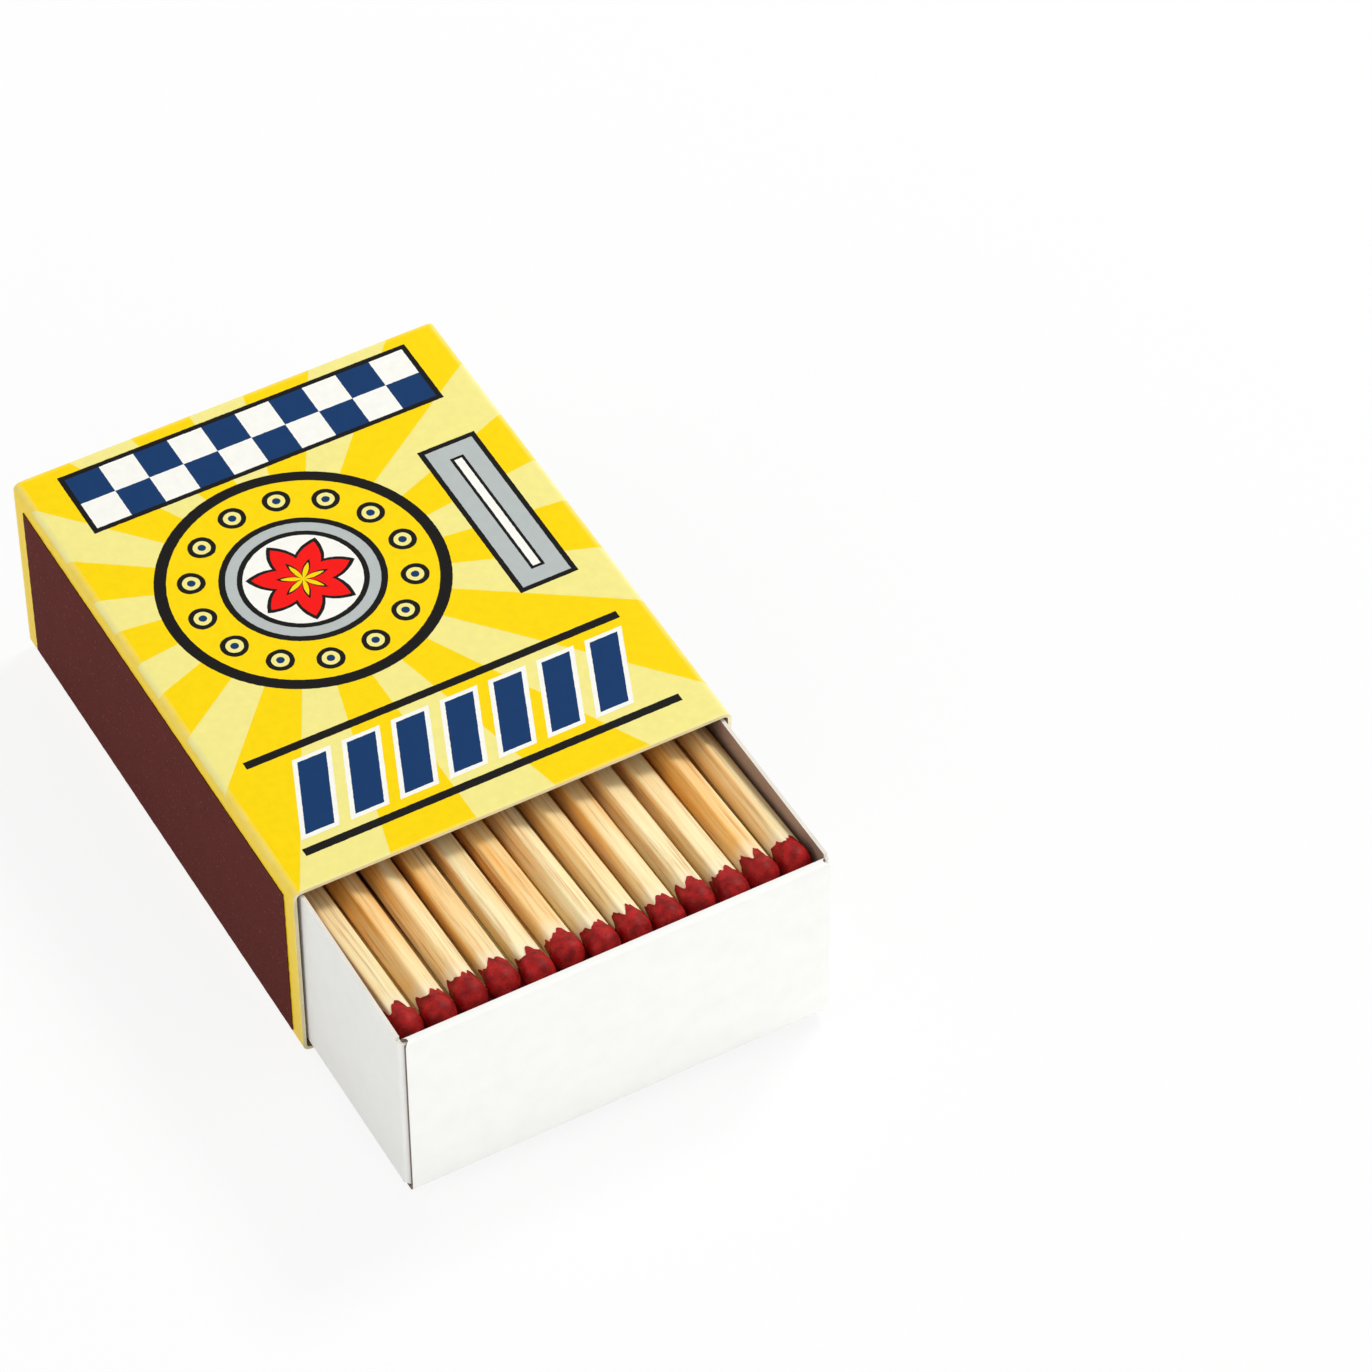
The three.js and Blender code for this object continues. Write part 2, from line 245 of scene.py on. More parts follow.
def panel(tree, place, centre, size):
    """Distance outside a rectangle: the larger of |x| - width / 2 and |y| - height / 2."""
    away = add(tree, "ShaderNodeVectorMath", {0: moved(tree, place, centre)}, operation="ABSOLUTE")
    half = (size[0] / 2, size[1] / 2, 0)
    outside = add(tree, "ShaderNodeVectorMath", {0: away, 1: half}, operation="SUBTRACT")
    parts = add(tree, "ShaderNodeSeparateXYZ", {0: outside}).node.outputs
    return both(tree, parts["X"], parts["Y"])


def stripes(tree, across, pitch, share):
    """Distance outside evenly spaced stripes: a zigzag of the coordinate, less half a stripe."""
    zigzag = add(tree, "ShaderNodeMath", {0: across, 1: pitch / 2}, operation="PINGPONG")
    return add(tree, "ShaderNodeMath", {0: zigzag, 1: pitch * share / 2}, operation="SUBTRACT")


print("inks:", ", ".join(INKS))


# %% [markdown]
# ## The sun
#
# The sun is drawn in polar terms. Its distance from the centre gives the rings, and its angle, cut into
# equal parts, gives the rays, the beads and the points of the core. Each ring below is its inner radius,
# its outer radius and its ink, and what is printed later lies on top.

# %% Print: the rays and the sun
SUN_CENTRE = (-4.5, 5.5)
RAY_COUNT = 13
RAY_SHARE = 0.48
SUN_RINGS = ((0, 14.2, "yellow"), (14.2, 15.5, "black"), (8.1, 8.8, "black"),
             (6.9, 8.1, "grey"), (6.3, 6.9, "black"), (0, 6.3, "white"))
BEAD_COUNT = 14
BEAD_CIRCLE = 11.6
BEAD_RINGS = ((0, 1.5, "black"), (0, 0.95, "pale"), (0, 0.45, "navy"))
POINT_COUNT = 7
POINT_DEPTH = 5.4
CORE_RINGS = ((0, 6.0, "black"), (0, 5.4, "red"), (0, 2.9, "black"), (0, 2.4, "yellow"))


def round_sun(tree, place):
    """A place measured from the sun's centre, and its angle there."""
    local = moved(tree, place, SUN_CENTRE)
    parts = add(tree, "ShaderNodeSeparateXYZ", {0: local}).node.outputs
    return local, add(tree, "ShaderNodeMath", {0: parts["Y"], 1: parts["X"]}, operation="ARCTAN2")


def print_rays(tree, colour, place):
    """Pale rays that widen from the sun's centre over the whole panel: stripes of the angle."""
    _, angle = round_sun(tree, place)
    rays = stripes(tree, angle, math.tau / RAY_COUNT, RAY_SHARE)
    return lay_ink(tree, colour, rays, -EVERYWHERE, 0, "pale")


def print_sun(tree, colour, place):
    """Rings of the radius, then of the distance to the nearest bead, then of a radius that zigzags."""
    local, angle = round_sun(tree, place)
    radius = add(tree, "ShaderNodeVectorMath", {0: local}, operation="LENGTH")
    colour = lay_rings(tree, colour, radius, SUN_RINGS)

    near_bead = add(tree, "ShaderNodeMath", {0: angle, 1: math.pi / BEAD_COUNT}, operation="PINGPONG")
    sideways = add(tree, "ShaderNodeMath", {0: near_bead, 1: BEAD_CIRCLE}, operation="MULTIPLY")
    outwards = add(tree, "ShaderNodeMath", {0: radius, 1: BEAD_CIRCLE}, operation="SUBTRACT")
    offset = add(tree, "ShaderNodeCombineXYZ", {0: sideways, 1: outwards})
    bead = add(tree, "ShaderNodeVectorMath", {0: offset}, operation="LENGTH")
    colour = lay_rings(tree, colour, bead, BEAD_RINGS)

    wave = add(tree, "ShaderNodeMath", {0: angle, 1: math.pi / POINT_COUNT}, operation="PINGPONG")
    point = add(tree, "ShaderNodeMath", {0: wave, 1: POINT_DEPTH, 2: radius}, operation="MULTIPLY_ADD")
    return lay_rings(tree, colour, point, CORE_RINGS)


print("sun of", RAY_COUNT, "rays,", BEAD_COUNT, "beads and", POINT_COUNT, "points")


# %% [markdown]
# ## The bands
#
# A rectangle is a distance too: how far a place lies past the nearer pair of its sides. The same rectangle
# printed a little larger first, in another ink, leaves an outline. The bars are stripes of a turned place,
# cut off by a strip and at both ends of their row.

# %% Print: the chequered band, the slanted bars and the label
BAND_CENTRE = (0, 26.4)
BAND_SIZE = (40.0, 8.0)
BAND_OUTLINE = 0.6
SQUARES_PER_MM = 0.25
BAR_CENTRE = (0, -21.5)
BAR_STRIP = (60.0, 9.0)
BAR_COUNT = 7
BAR_PITCH = 5.2
BAR_SHARE = 0.58
BAR_TRIM = 0.2
BAR_SLANT = math.radians(-22)
BAR_OUTLINE = 0.5
RULES_AND_LABEL = (
    ((0, -28.1), (43.0, 1.0), "black"),
    ((0, -14.9), (43.0, 1.0), "black"),
    ((17.6, 4.2), (6.8, 23.2), "black"),
    ((17.6, 4.2), (5.6, 22.0), "grey"),
    ((17.6, 4.2), (1.6, 18.2), "black"),
    ((17.6, 4.2), (0.9, 17.5), "white"),
)


def print_chequers(tree, colour, place):
    """A white band in a black outline, with navy squares counted from its lower left corner."""
    band = panel(tree, place, BAND_CENTRE, BAND_SIZE)
    colour = lay_ink(tree, colour, band, -EVERYWHERE, BAND_OUTLINE, "black")
    colour = lay_ink(tree, colour, band, -EVERYWHERE, 0, "white")
    corner = [middle - size / 2 for middle, size in zip(BAND_CENTRE, BAND_SIZE)]
    squares = add(tree, "ShaderNodeTexChecker",
                  {"Vector": moved(tree, place, corner), "Scale": SQUARES_PER_MM})
    chequer = add(tree, "ShaderNodeMath", {0: squares.node.outputs["Fac"], 1: -1.0, 2: 0.5},
                  operation="MULTIPLY_ADD")
    return lay_ink(tree, colour, both(tree, band, chequer), -EVERYWHERE, 0, "navy")


def print_bars(tree, colour, place):
    """Navy bars in white outlines, leaning by BAR_SLANT. The row stops short of one bar more."""
    slanted = moved(tree, place, BAR_CENTRE, BAR_SLANT)
    parts = add(tree, "ShaderNodeSeparateXYZ", {0: slanted}).node.outputs
    row = add(tree, "ShaderNodeMath", {0: parts["X"]}, operation="ABSOLUTE")
    half_row = BAR_PITCH * (BAR_COUNT - BAR_TRIM) / 2
    row = add(tree, "ShaderNodeMath", {0: row, 1: half_row}, operation="SUBTRACT")
    strip = panel(tree, place, BAR_CENTRE, BAR_STRIP)
    bars = both(tree, stripes(tree, parts["X"], BAR_PITCH, BAR_SHARE), row, strip)
    colour = lay_ink(tree, colour, bars, -EVERYWHERE, BAR_OUTLINE, "white")
    return lay_ink(tree, colour, bars, -EVERYWHERE, 0, "navy")


def print_label(tree, colour, place):
    """Two black rules, and a grey label with a white slot, each a plain rectangle."""
    for centre, size, ink in RULES_AND_LABEL:
        colour = lay_ink(tree, colour, panel(tree, place, centre, size), -EVERYWHERE, 0, ink)
    return colour


print("band of", int(BAND_SIZE[0] * BAND_SIZE[1] * SQUARES_PER_MM ** 2), "squares,", BAR_COUNT, "bars")


# %% [markdown]
# ## The varnished board
#
# The printed board is coated with clay, printed, and sealed with a water varnish, which gives a soft sheen
# and nearly hides the fibres. Three things keep it from looking like a flat screen: the edges of the ink
# wander by a few hundredths of a millimetre, a faint mottle runs over it, and it is paler, in patches, along
# the folds and at the mouths: rubbed wear, which on the folds is also a painted highlight along the edge.

# %% Print: the varnished board
EDGE_WANDER = 0.1
WANDER_PER_MM = 2.0
MOTTLE_PER_MM = 0.8
PATCHES_PER_MM = 0.5
COAT_GRAIN_PER_MM = 1.6
COAT_RELIEF = 0.04
FOLD_DEPTH = 0.45
LIP = 0.45
LIP_RUB = 0.8
RUB = 0.38
UNDER_FRAME = (38.0, 50.0)
UNDER_LINE = 0.7
UNDER_PANEL = (35.0, 47.0)


def wandering(tree, place):
    """The place in the sheet's plane, pushed about by noise so that printed edges wander."""
    noise = add(tree, "ShaderNodeTexNoise", {"Vector": place, "Scale": WANDER_PER_MM, "Detail": 3.0})
    push = add(tree, "ShaderNodeVectorMath", {0: noise.node.outputs["Color"], 1: (0.5, 0.5, 0.5)},
               operation="SUBTRACT")
    reach = (EDGE_WANDER, EDGE_WANDER, 0.0)
    pushed = add(tree, "ShaderNodeVectorMath", {0: push, 1: reach, 2: place}, operation="MULTIPLY_ADD")
    return add(tree, "ShaderNodeVectorMath", {0: pushed, 1: (1, 1, 0)}, operation="MULTIPLY")


def rubbed_with_fold_highlight(tree, colour, place):
    """Paler coat on the larger of fold and lip weight, times patchy noise: wear, plus a painted highlight on
    folds.
    """
    fold = add(tree, "ShaderNodeAttribute", attribute_name="fold").node.outputs["Fac"]
    patchy = add(tree, "ShaderNodeTexNoise", {"Vector": place, "Scale": PATCHES_PER_MM, "Detail": 4.0})
    rub = add(tree, "ShaderNodeMapRange", {0: patchy, 1: 0.25, 2: 0.7, 3: 0.35, 4: 1.0})
    length_way = add(tree, "ShaderNodeSeparateXYZ", {0: place}).node.outputs["Y"]
    from_middle = add(tree, "ShaderNodeMath", {0: length_way}, operation="ABSOLUTE")
    mouth = float(sleeve_high[1])
    lip = add(tree, "ShaderNodeMapRange", {0: from_middle, 1: mouth - LIP, 2: mouth, 3: 0.0, 4: LIP_RUB})
    # Along the folds the paler coat is rubbed wear and also a painted highlight on the fold edges.
    either = add(tree, "ShaderNodeMath", {0: fold, 1: lip}, operation="MAXIMUM")
    wear_and_fold_highlight = add(tree, "ShaderNodeMath", {0: either, 1: rub}, operation="MULTIPLY")
    wear_and_fold_highlight = add(tree, "ShaderNodeMath", {0: wear_and_fold_highlight, 1: RUB}, operation="MULTIPLY")
    return add(tree, "ShaderNodeMix", {0: wear_and_fold_highlight, 6: colour, 7: linear("#FFF9C4")}, data_type="RGBA")


def printed_board():
    """Offset inks on coated board: motifs on top, plain sides, a framed panel below, under varnish."""
    material, tree = blank_material("varnished_offset_print")
    place = millimetres(tree)
    flat = wandering(tree, place)
    plain = linear(INKS["yellow"])
    decorated = plain
    for print_motif in (print_rays, print_sun, print_chequers, print_bars, print_label):
        decorated = print_motif(tree, decorated, flat)
    height = add(tree, "ShaderNodeSeparateXYZ", {0: place}).node.outputs["Z"]
    top_edge = float(sleeve_high[2]) - FOLD_DEPTH
    on_top = add(tree, "ShaderNodeMath", {0: height, 1: top_edge}, operation="GREATER_THAN")
    colour = add(tree, "ShaderNodeMix", {0: on_top, 6: plain, 7: decorated}, data_type="RGBA")

    underside = lay_ink(tree, plain, panel(tree, flat, (0, 0), UNDER_FRAME), -UNDER_LINE, 0, "black")
    underside = lay_ink(tree, underside, panel(tree, flat, (0, 0), UNDER_PANEL), -EVERYWHERE, 0, "pale")
    below = add(tree, "ShaderNodeMath", {0: height, 1: FOLD_DEPTH}, operation="LESS_THAN")
    colour = add(tree, "ShaderNodeMix", {0: below, 6: colour, 7: underside}, data_type="RGBA")

    mottle = add(tree, "ShaderNodeTexNoise",
                 {"Vector": place, "Scale": MOTTLE_PER_MM, "Detail": 5.0, "Roughness": 0.6})
    tone = add(tree, "ShaderNodeMapRange", {0: mottle, 1: 0.3, 2: 0.7, 3: 0.94, 4: 1.0})
    colour = add(tree, "ShaderNodeMix", {0: 1.0, 6: colour, 7: tone}, data_type="RGBA",
                 blend_type="MULTIPLY")
    colour = rubbed_with_fold_highlight(tree, colour, place)

    grain = add(tree, "ShaderNodeTexNoise", {"Vector": place, "Scale": COAT_GRAIN_PER_MM, "Detail": 6.0})
    gloss = add(tree, "ShaderNodeMapRange", {0: grain, 1: 0.3, 2: 0.7, 3: 0.28, 4: 0.38})
    normal = add(tree, "ShaderNodeBump", {"Strength": 0.12, "Distance": COAT_RELIEF * MM, "Height": grain})
    finish_material(tree, colour, gloss, normal, Specular_IOR_Level=0.1)
    return material


printed_face = printed_board()
print("print uses", len(printed_face.node_tree.nodes), "nodes")


# %% [markdown]
# ## Folded card as a line
#
# Every card piece here is one strip: an outline that turns through its folds, carried straight along the
# third direction. The outline is worked out once, as points with the inward direction at each, so the inner
# face is the outer face moved inwards by the card's thickness. Real card is never dead flat, so a panel
# may belly inwards a little between its folds.

# %% Folded outlines
CARD = 0.4
PANEL_STEP = 1.6
FOLD_STEPS = 8


def straight_run(start, end, inward, free):
    """Points from start to end, without the last one, and how far the panel may belly at each."""
    count = max(2, int(np.ceil(np.linalg.norm(end - start) / PANEL_STEP)))
    share = np.arange(count) / count
    points = start + share[:, None] * (end - start)
    belly = np.zeros(count) if free else np.sin(np.pi * share)
    return points, np.repeat(inward[None], count, 0), np.zeros(count), belly


def folded_outline(corners):
    """The outer line of a folded strip, from corners (u, v, fold radius) that all turn left.

    A fold of radius r swings round its centre: centre - r * (inward * cos(a) + next_inward * sin(a)) for
    a from 0 to 90 degrees. Returns points, inward directions, fold weights and belly weights.
    """
    spots = np.array([corner[:2] for corner in corners], float)
    heading = np.diff(spots, axis=0)
    heading /= np.linalg.norm(heading, axis=1)[:, None]
    inward = np.stack([-heading[:, 1], heading[:, 0]], 1)
    angle = np.linspace(0, np.pi / 2, FOLD_STEPS + 1)[:, None]
    runs = []
    start = spots[0]
    for i in range(1, len(spots) - 1):
        radius = corners[i][2]
        end = spots[i] - radius * heading[i - 1]
        runs.append(straight_run(start, end, inward[i - 1], i == 1))
        normals = inward[i - 1] * np.cos(angle) + inward[i] * np.sin(angle)
        points = end + radius * inward[i - 1] - radius * normals
        runs.append((points[:-1], normals[:-1], np.sin(2 * angle[:-1, 0]), np.zeros(FOLD_STEPS)))
        start = points[-1]
    runs.append(straight_run(start, spots[-1], inward[-1], True))
    tip = (spots[-1:], inward[-1:], np.zeros(1), np.zeros(1))
    return [np.concatenate([run[k] for run in runs + [tip]]) for k in range(4)]


print("a panel step is", PANEL_STEP, "mm, and a fold has", FOLD_STEPS, "steps")


# %% [markdown]
# ## Folded card as a sheet
#
# Two grids, the outer face and the inner one, are joined round their four edges into a closed sheet. Each
# face remembers which side it belongs to, so the print, the back and the cut edge take their own material.
# A closed shape has a signed volume, and its sign tells whether the faces point outwards.

# %% Slabs of card
def quads(index):
    """Four-sided faces of a grid of point numbers."""
    corners = (index[:-1, :-1], index[1:, :-1], index[1:, 1:], index[:-1, 1:])
    return np.stack(corners, -1).reshape(-1, 4)


def outward(points, groups):
    """Turns a closed shape's faces over if its volume is negative.

    The volume is a sixth of the sum of a . (b x c) over every triangle of every face's fan.
    """
    volume = 0.0
    for group in groups:
        corners = points[group]
        for k in range(1, group.shape[1] - 1):
            volume += (corners[:, 0] * np.cross(corners[:, k], corners[:, k + 1])).sum()
    return [group[:, ::-1] if volume < 0 else group for group in groups]


def slab(outer, inner):
    """Two grids of points, joined round their four edges into one closed sheet.

    Returns points, faces, and each face's side: 0 for the outer face, 1 for the inner one, 2 for the edge.
    """
    n, m = outer.shape[:2]
    top = np.arange(n * m).reshape(n, m)
    under = top + n * m
    loop = np.concatenate([top[:, 0], top[-1, 1:], top[-2::-1, -1], top[0, -2:0:-1]])
    after = np.roll(loop, -1)
    rim = np.stack([after, loop, loop + n * m, after + n * m], -1)
    points = np.concatenate([outer.reshape(-1, 3), inner.reshape(-1, 3)])
    parts = (quads(top), quads(under)[:, ::-1], rim)
    faces = np.concatenate(parts)
    side = np.concatenate([np.full(len(part), i) for i, part in enumerate(parts)])
    return points, outward(points, [faces])[0], side


def joined(parts):
    """Puts closed parts (points, faces, side) into one list of each."""
    shift = np.cumsum([0] + [len(points) for points, _, _ in parts[:-1]])
    faces = np.concatenate([faces + start for (_, faces, _), start in zip(parts, shift)])
    return np.concatenate([part[0] for part in parts]), faces, np.concatenate([part[2] for part in parts])


print("card is", CARD, "mm thick")


# %% [markdown]
# ## From numbers to a piece
#
# Every surface ends the same way: its points and faces become a mesh, its folds are marked sharp, its
# materials and attributes go on, the piece is hung on the body it rides on, and the solids it replaces are
# hidden.

# %% Making a piece
def dress(name, points, groups, body, slot_name, materials, replaced, side=None, crease=40, **attributes):
    """Makes points in mm and groups of faces into one piece on its body, and hides the solids it replaces."""
    mesh = bpy.data.meshes.new(name)
    mesh.from_pydata((points * MM).tolist(), [], [face for group in groups for face in group.tolist()])
    mesh.shade_smooth()
    mesh.set_sharp_from_angle(angle=math.radians(crease))
    for material in materials:
        mesh.materials.append(material)
    if side is not None:
        mesh.polygons.foreach_set("material_index", side.astype(np.int32))
    for key, values in attributes.items():
        kind, field = ("FLOAT", "value") if values.ndim == 1 else ("FLOAT_VECTOR", "vector")
        layer = mesh.attributes.new(key, kind, "POINT")
        layer.data.foreach_set(field, values.astype(np.float32).ravel())
    mesh.validate()
    piece = bpy.data.objects.new(name, mesh)
    scene.collection.objects.link(piece)
    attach(piece, body)
    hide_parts(*replaced)
    return piece


# %% [markdown]
# ## The sleeve
#
# The sleeve is one strip of printed board, folded four times and glued: it starts at a cut edge under the
# left fold, runs round the box, and ends in a flap glued inside on the bottom panel. Carrying that outline
# along the box gives true folds, a real overlap at the seam, and cut edges at both mouths.

# %% Sleeve
SLEEVE_FOLD = 0.9
FLAP_WIDTH = 11.0
SEAM_SETBACK = 1.5
GLUE_LINE = 0.02
SLEEVE_BELLY = 0.12
BELLY_MEAN = 0.55
BELLY_SWING = 0.45
SLEEVE_STATIONS = 48


def make_sleeve():
    """Outer grid: outline (x, z) carried along y.

    The long flat panels belly inwards, by SLEEVE_BELLY in the middle and by a tenth of it at the mouths.
    """
    left, front, bottom = sleeve_low
    right, back, top = sleeve_high
    seam = bottom + CARD + GLUE_LINE
    line, inward, fold, belly = folded_outline([
        (left + SEAM_SETBACK, bottom),
        (right, bottom, SLEEVE_FOLD),
        (right, top, SLEEVE_FOLD),
        (left, top, SLEEVE_FOLD),
        (left, seam, SLEEVE_FOLD),
        (left + CARD + FLAP_WIDTH, seam),
    ])
    along = np.linspace(front, back, SLEEVE_STATIONS)
    fade = BELLY_MEAN + BELLY_SWING * np.cos(np.pi * along / back)
    sag = SLEEVE_BELLY * (belly * np.abs(inward[:, 1]))[:, None] * fade

    def face(depth):
        across = line + depth * inward
        spot = across[:, None, :] + sag[:, :, None] * inward[:, None, :]
        return np.stack([spot[..., 0], np.broadcast_to(along, sag.shape), spot[..., 1]], -1)

    points, faces, side = slab(face(0.0), face(CARD))
    weights = np.tile(np.repeat(fold, SLEEVE_STATIONS), 2)
    return dress("sleeve_card", points, [faces], "sleeve", "printed_card",
                 [printed_face, grey_back, cream_edge], ["sleeve"], side, fold=weights)


sleeve_card = make_sleeve()
print("sleeve faces:", len(sleeve_card.data.polygons))


# %% [markdown]
# ## Striking paint
#
# A striking strip is a thick brown paint: red phosphorus and powdered glass in a binder, rolled on in one
# pass. It is matt and gritty, and shows a few pale glints of glass. The grit is about a fifth of a
# millimetre, and the glints are drawn coarser than real glass dust, so that they show.

# %% Striking paint
PAINT_PATCHES_PER_MM = 0.25
GRIT_PER_MM = 4.5
GLINTS_PER_MM = 2.2
GLINT_SIZE = 0.3
GLINT_RARITY = 0.94
GLINT_STRENGTH = 0.45
PAINT_ROUGH_PER_MM = 5.0
GRIT_RELIEF = 0.08


def striking_paint():
    """Phosphorus and glass paint: dark red-brown, dry and gritty, with rare glints."""
    material, tree = blank_material("phosphorus_striking_paint")
    place = millimetres(tree)
    patches = add(tree, "ShaderNodeTexNoise",
                  {"Vector": place, "Scale": PAINT_PATCHES_PER_MM, "Detail": 5.0})
    colour = add(tree, "ShaderNodeMix", {0: patches, 6: linear("#5E2420"), 7: linear("#6A2B25")},
                 data_type="RGBA")
    grit = add(tree, "ShaderNodeTexVoronoi", {"Vector": place, "Scale": GRIT_PER_MM}, feature="F1")
    shade = add(tree, "ShaderNodeMapRange", {0: grit, 1: 0.15, 2: 0.6, 3: 0.0, 4: 0.35})
    colour = add(tree, "ShaderNodeMix", {0: shade, 6: colour, 7: linear("#3A1714")}, data_type="RGBA")
    cells = add(tree, "ShaderNodeTexVoronoi", {"Vector": place, "Scale": GLINTS_PER_MM}, feature="F1")
    pick = add(tree, "ShaderNodeSeparateXYZ", {0: cells.node.outputs["Color"]})
    rare = add(tree, "ShaderNodeMath", {0: pick, 1: GLINT_RARITY}, operation="GREATER_THAN")
    small = add(tree, "ShaderNodeMath", {0: cells, 1: GLINT_SIZE}, operation="LESS_THAN")
    glint = add(tree, "ShaderNodeMath", {0: rare, 1: small}, operation="MULTIPLY")
    glint = add(tree, "ShaderNodeMath", {0: glint, 1: GLINT_STRENGTH}, operation="MULTIPLY")
    colour = add(tree, "ShaderNodeMix", {0: glint, 6: colour, 7: linear("#9A6A5C")}, data_type="RGBA")
    rough = add(tree, "ShaderNodeTexNoise", {"Vector": place, "Scale": PAINT_ROUGH_PER_MM, "Detail": 4.0})
    relief = add(tree, "ShaderNodeMath", {0: rough, 1: grit}, operation="ADD")
    normal = add(tree, "ShaderNodeBump", {"Strength": 0.6, "Distance": GRIT_RELIEF * MM, "Height": relief})
    finish_material(tree, colour, 0.86, normal, Specular_IOR_Level=0.1)
    return material


striker_paint = striking_paint()
print("paint:", striker_paint.name)


# %% [markdown]
# ## The striking strips
#
# Each strip stands a shade proud of the board, and its edge is a little ragged where the paint ends. So it is
# a thin slab whose border is pulled in by sums of sines, while its middle stays put.

# %% Striking strips
STRIP_RAGGED = 0.05
STRIP_STATIONS = 121
STRIP_ROWS = 41
END_WAVES = (2.9, 7.3)
SILL_WAVES = (2.1, 6.7)
BORDER_POWER = 8


def ragged(along, waves, seed):
    """Two sines of the place along an edge, in radians per mm, between -STRIP_RAGGED and STRIP_RAGGED."""
    return STRIP_RAGGED * (np.sin(waves[0] * along + seed) + np.sin(waves[1] * along + 2 * seed)) / 2


def pulled_in(grid, low, high, edge):
    """Moves a grid inwards by (STRIP_RAGGED - edge) * s ** BORDER_POWER, with s from -1 to 1 across it."""
    share = (grid - low) / (high - low) * 2 - 1
    return grid - np.sign(share) * share ** BORDER_POWER * (STRIP_RAGGED - edge)


def make_striker(name, side):
    """A grid over y and z with a ragged border, given the paint's thickness along x."""
    low, high = extent(name)
    along = np.linspace(low[1], high[1], STRIP_STATIONS)
    up = np.linspace(low[2], high[2], STRIP_ROWS)
    y, z = np.meshgrid(along, up, indexing="ij")
    seed = 3 if side < 0 else 5
    ends = ragged(z, END_WAVES, seed)
    sills = ragged(y, SILL_WAVES, seed)
    y = pulled_in(y, low[1], high[1], ends)
    z = pulled_in(z, low[2], high[2], sills)
    faces = [np.stack([np.full_like(y, x), y, z], -1) for x in (low[0], high[0])]
    outer, inner = faces if side < 0 else faces[::-1]
    points, faces, _ = slab(outer, inner)
    return dress(f"{name}_paint", points, [faces], "sleeve", "striking_surface", [striker_paint], [name])


strips = [make_striker("striker_left", -1), make_striker("striker_right", 1)]
print("strips:", [strip.name for strip in strips])


# %% [markdown]
# ## The tray's channel
#
# The tray is a second sheet of board. A channel makes its base and long walls. The ends of the long walls
# turn in as corner tabs, and each end panel folds up, rolls over the tabs and comes down inside them. The
# channel comes first: its walls lean in a little towards the rim, as card does when nothing holds it.

# %% Tray: base and long walls
TRAY_FOLD = 0.8
TAB_FOLD = 1.0
TRAY_BELLY = 0.16
TRAY_STATIONS = 44


def tray_channel(half, bottom, rim):
    """Outline (x, z) of base and walls, carried along y.

    A wall leans in by TRAY_BELLY * (height share) ** 2 * cos(along), so most in the middle of its rim.
    """
    end = half[1] - CARD - TAB_FOLD
    line, inward, _, _ = folded_outline([
        (-half[0], rim), (-half[0], bottom, TRAY_FOLD), (half[0], bottom, TRAY_FOLD), (half[0], rim),
    ])
    along = np.linspace(-end, end, TRAY_STATIONS)
    climb = np.clip((line[:, 1] - bottom) / (rim - bottom), 0, 1) ** 2 * np.abs(inward[:, 0])
    lean = TRAY_BELLY * climb[:, None] * np.cos(np.pi * along / (2 * end))

    def face(depth):
        spot = (line + depth * inward)[:, None, :] + lean[:, :, None] * inward[:, None, :]
        return np.stack([spot[..., 0], np.broadcast_to(along, lean.shape), spot[..., 1]], -1)

    return slab(face(0.0), face(CARD))


print("tray walls lean in by", TRAY_BELLY, "mm at most")


# %% [markdown]
# ## The tray's ends
#
# The rolled edge is what gives a matchbox tray its stiff, rounded end. The panel is a little narrower than
# the tray, and its cut side edges are coloured as a dark core: painted shadow for the small gap, a thin dark
# line at each upright corner. The corner tabs lie hidden behind it and close the corner.

# %% Tray: rolled ends and corner tabs
ROLL_FOLD = 0.46
ROLL_CARD = 0.38
END_WALL = 3 * CARD
PANEL_EDGE_GAP = 0.4
PANEL_CORNER = 0.5
PANEL_COLUMNS = 31
FLAP_GAP = 0.6
TAB_LENGTH = 10.0
TAB_ROWS = 12
CORE_AND_GAP_SHADOW = 3


def tray_end(half, bottom, rim, turn):
    """Outline (y, z) of one rolled end, carried along x.

    Its width narrows on a small arc at the rim, and its foot meets the base edge to edge. Its cut edges
    take the dark core material: painted shadow for the gap at the upright corners.
    """
    line, inward, _, _ = folded_outline([
        (-half[1] + END_WALL, bottom + CARD + FLAP_GAP),
        (-half[1] + END_WALL, rim, ROLL_FOLD),
        (-half[1], rim, ROLL_FOLD),
        (-half[1], bottom, TRAY_FOLD),
        (-half[1] + CARD + TAB_FOLD, bottom),
    ])
    rise = np.clip(line[:, 1] - (rim - PANEL_CORNER), 0, PANEL_CORNER)
    wide = half[0] - PANEL_EDGE_GAP - (PANEL_CORNER - np.sqrt(PANEL_CORNER ** 2 - rise ** 2))
    across = wide[:, None] * np.sin(np.linspace(-1, 1, PANEL_COLUMNS) * np.pi / 2)

    def face(depth):
        spot = line + depth * inward
        rest = [np.broadcast_to(spot[:, k, None], across.shape) for k in (0, 1)]
        return np.stack([across, *rest], -1) * (turn, turn, 1)

    points, faces, side = slab(face(0.0), face(ROLL_CARD))
    return points, faces, np.where(side == 2, CORE_AND_GAP_SHADOW, side)


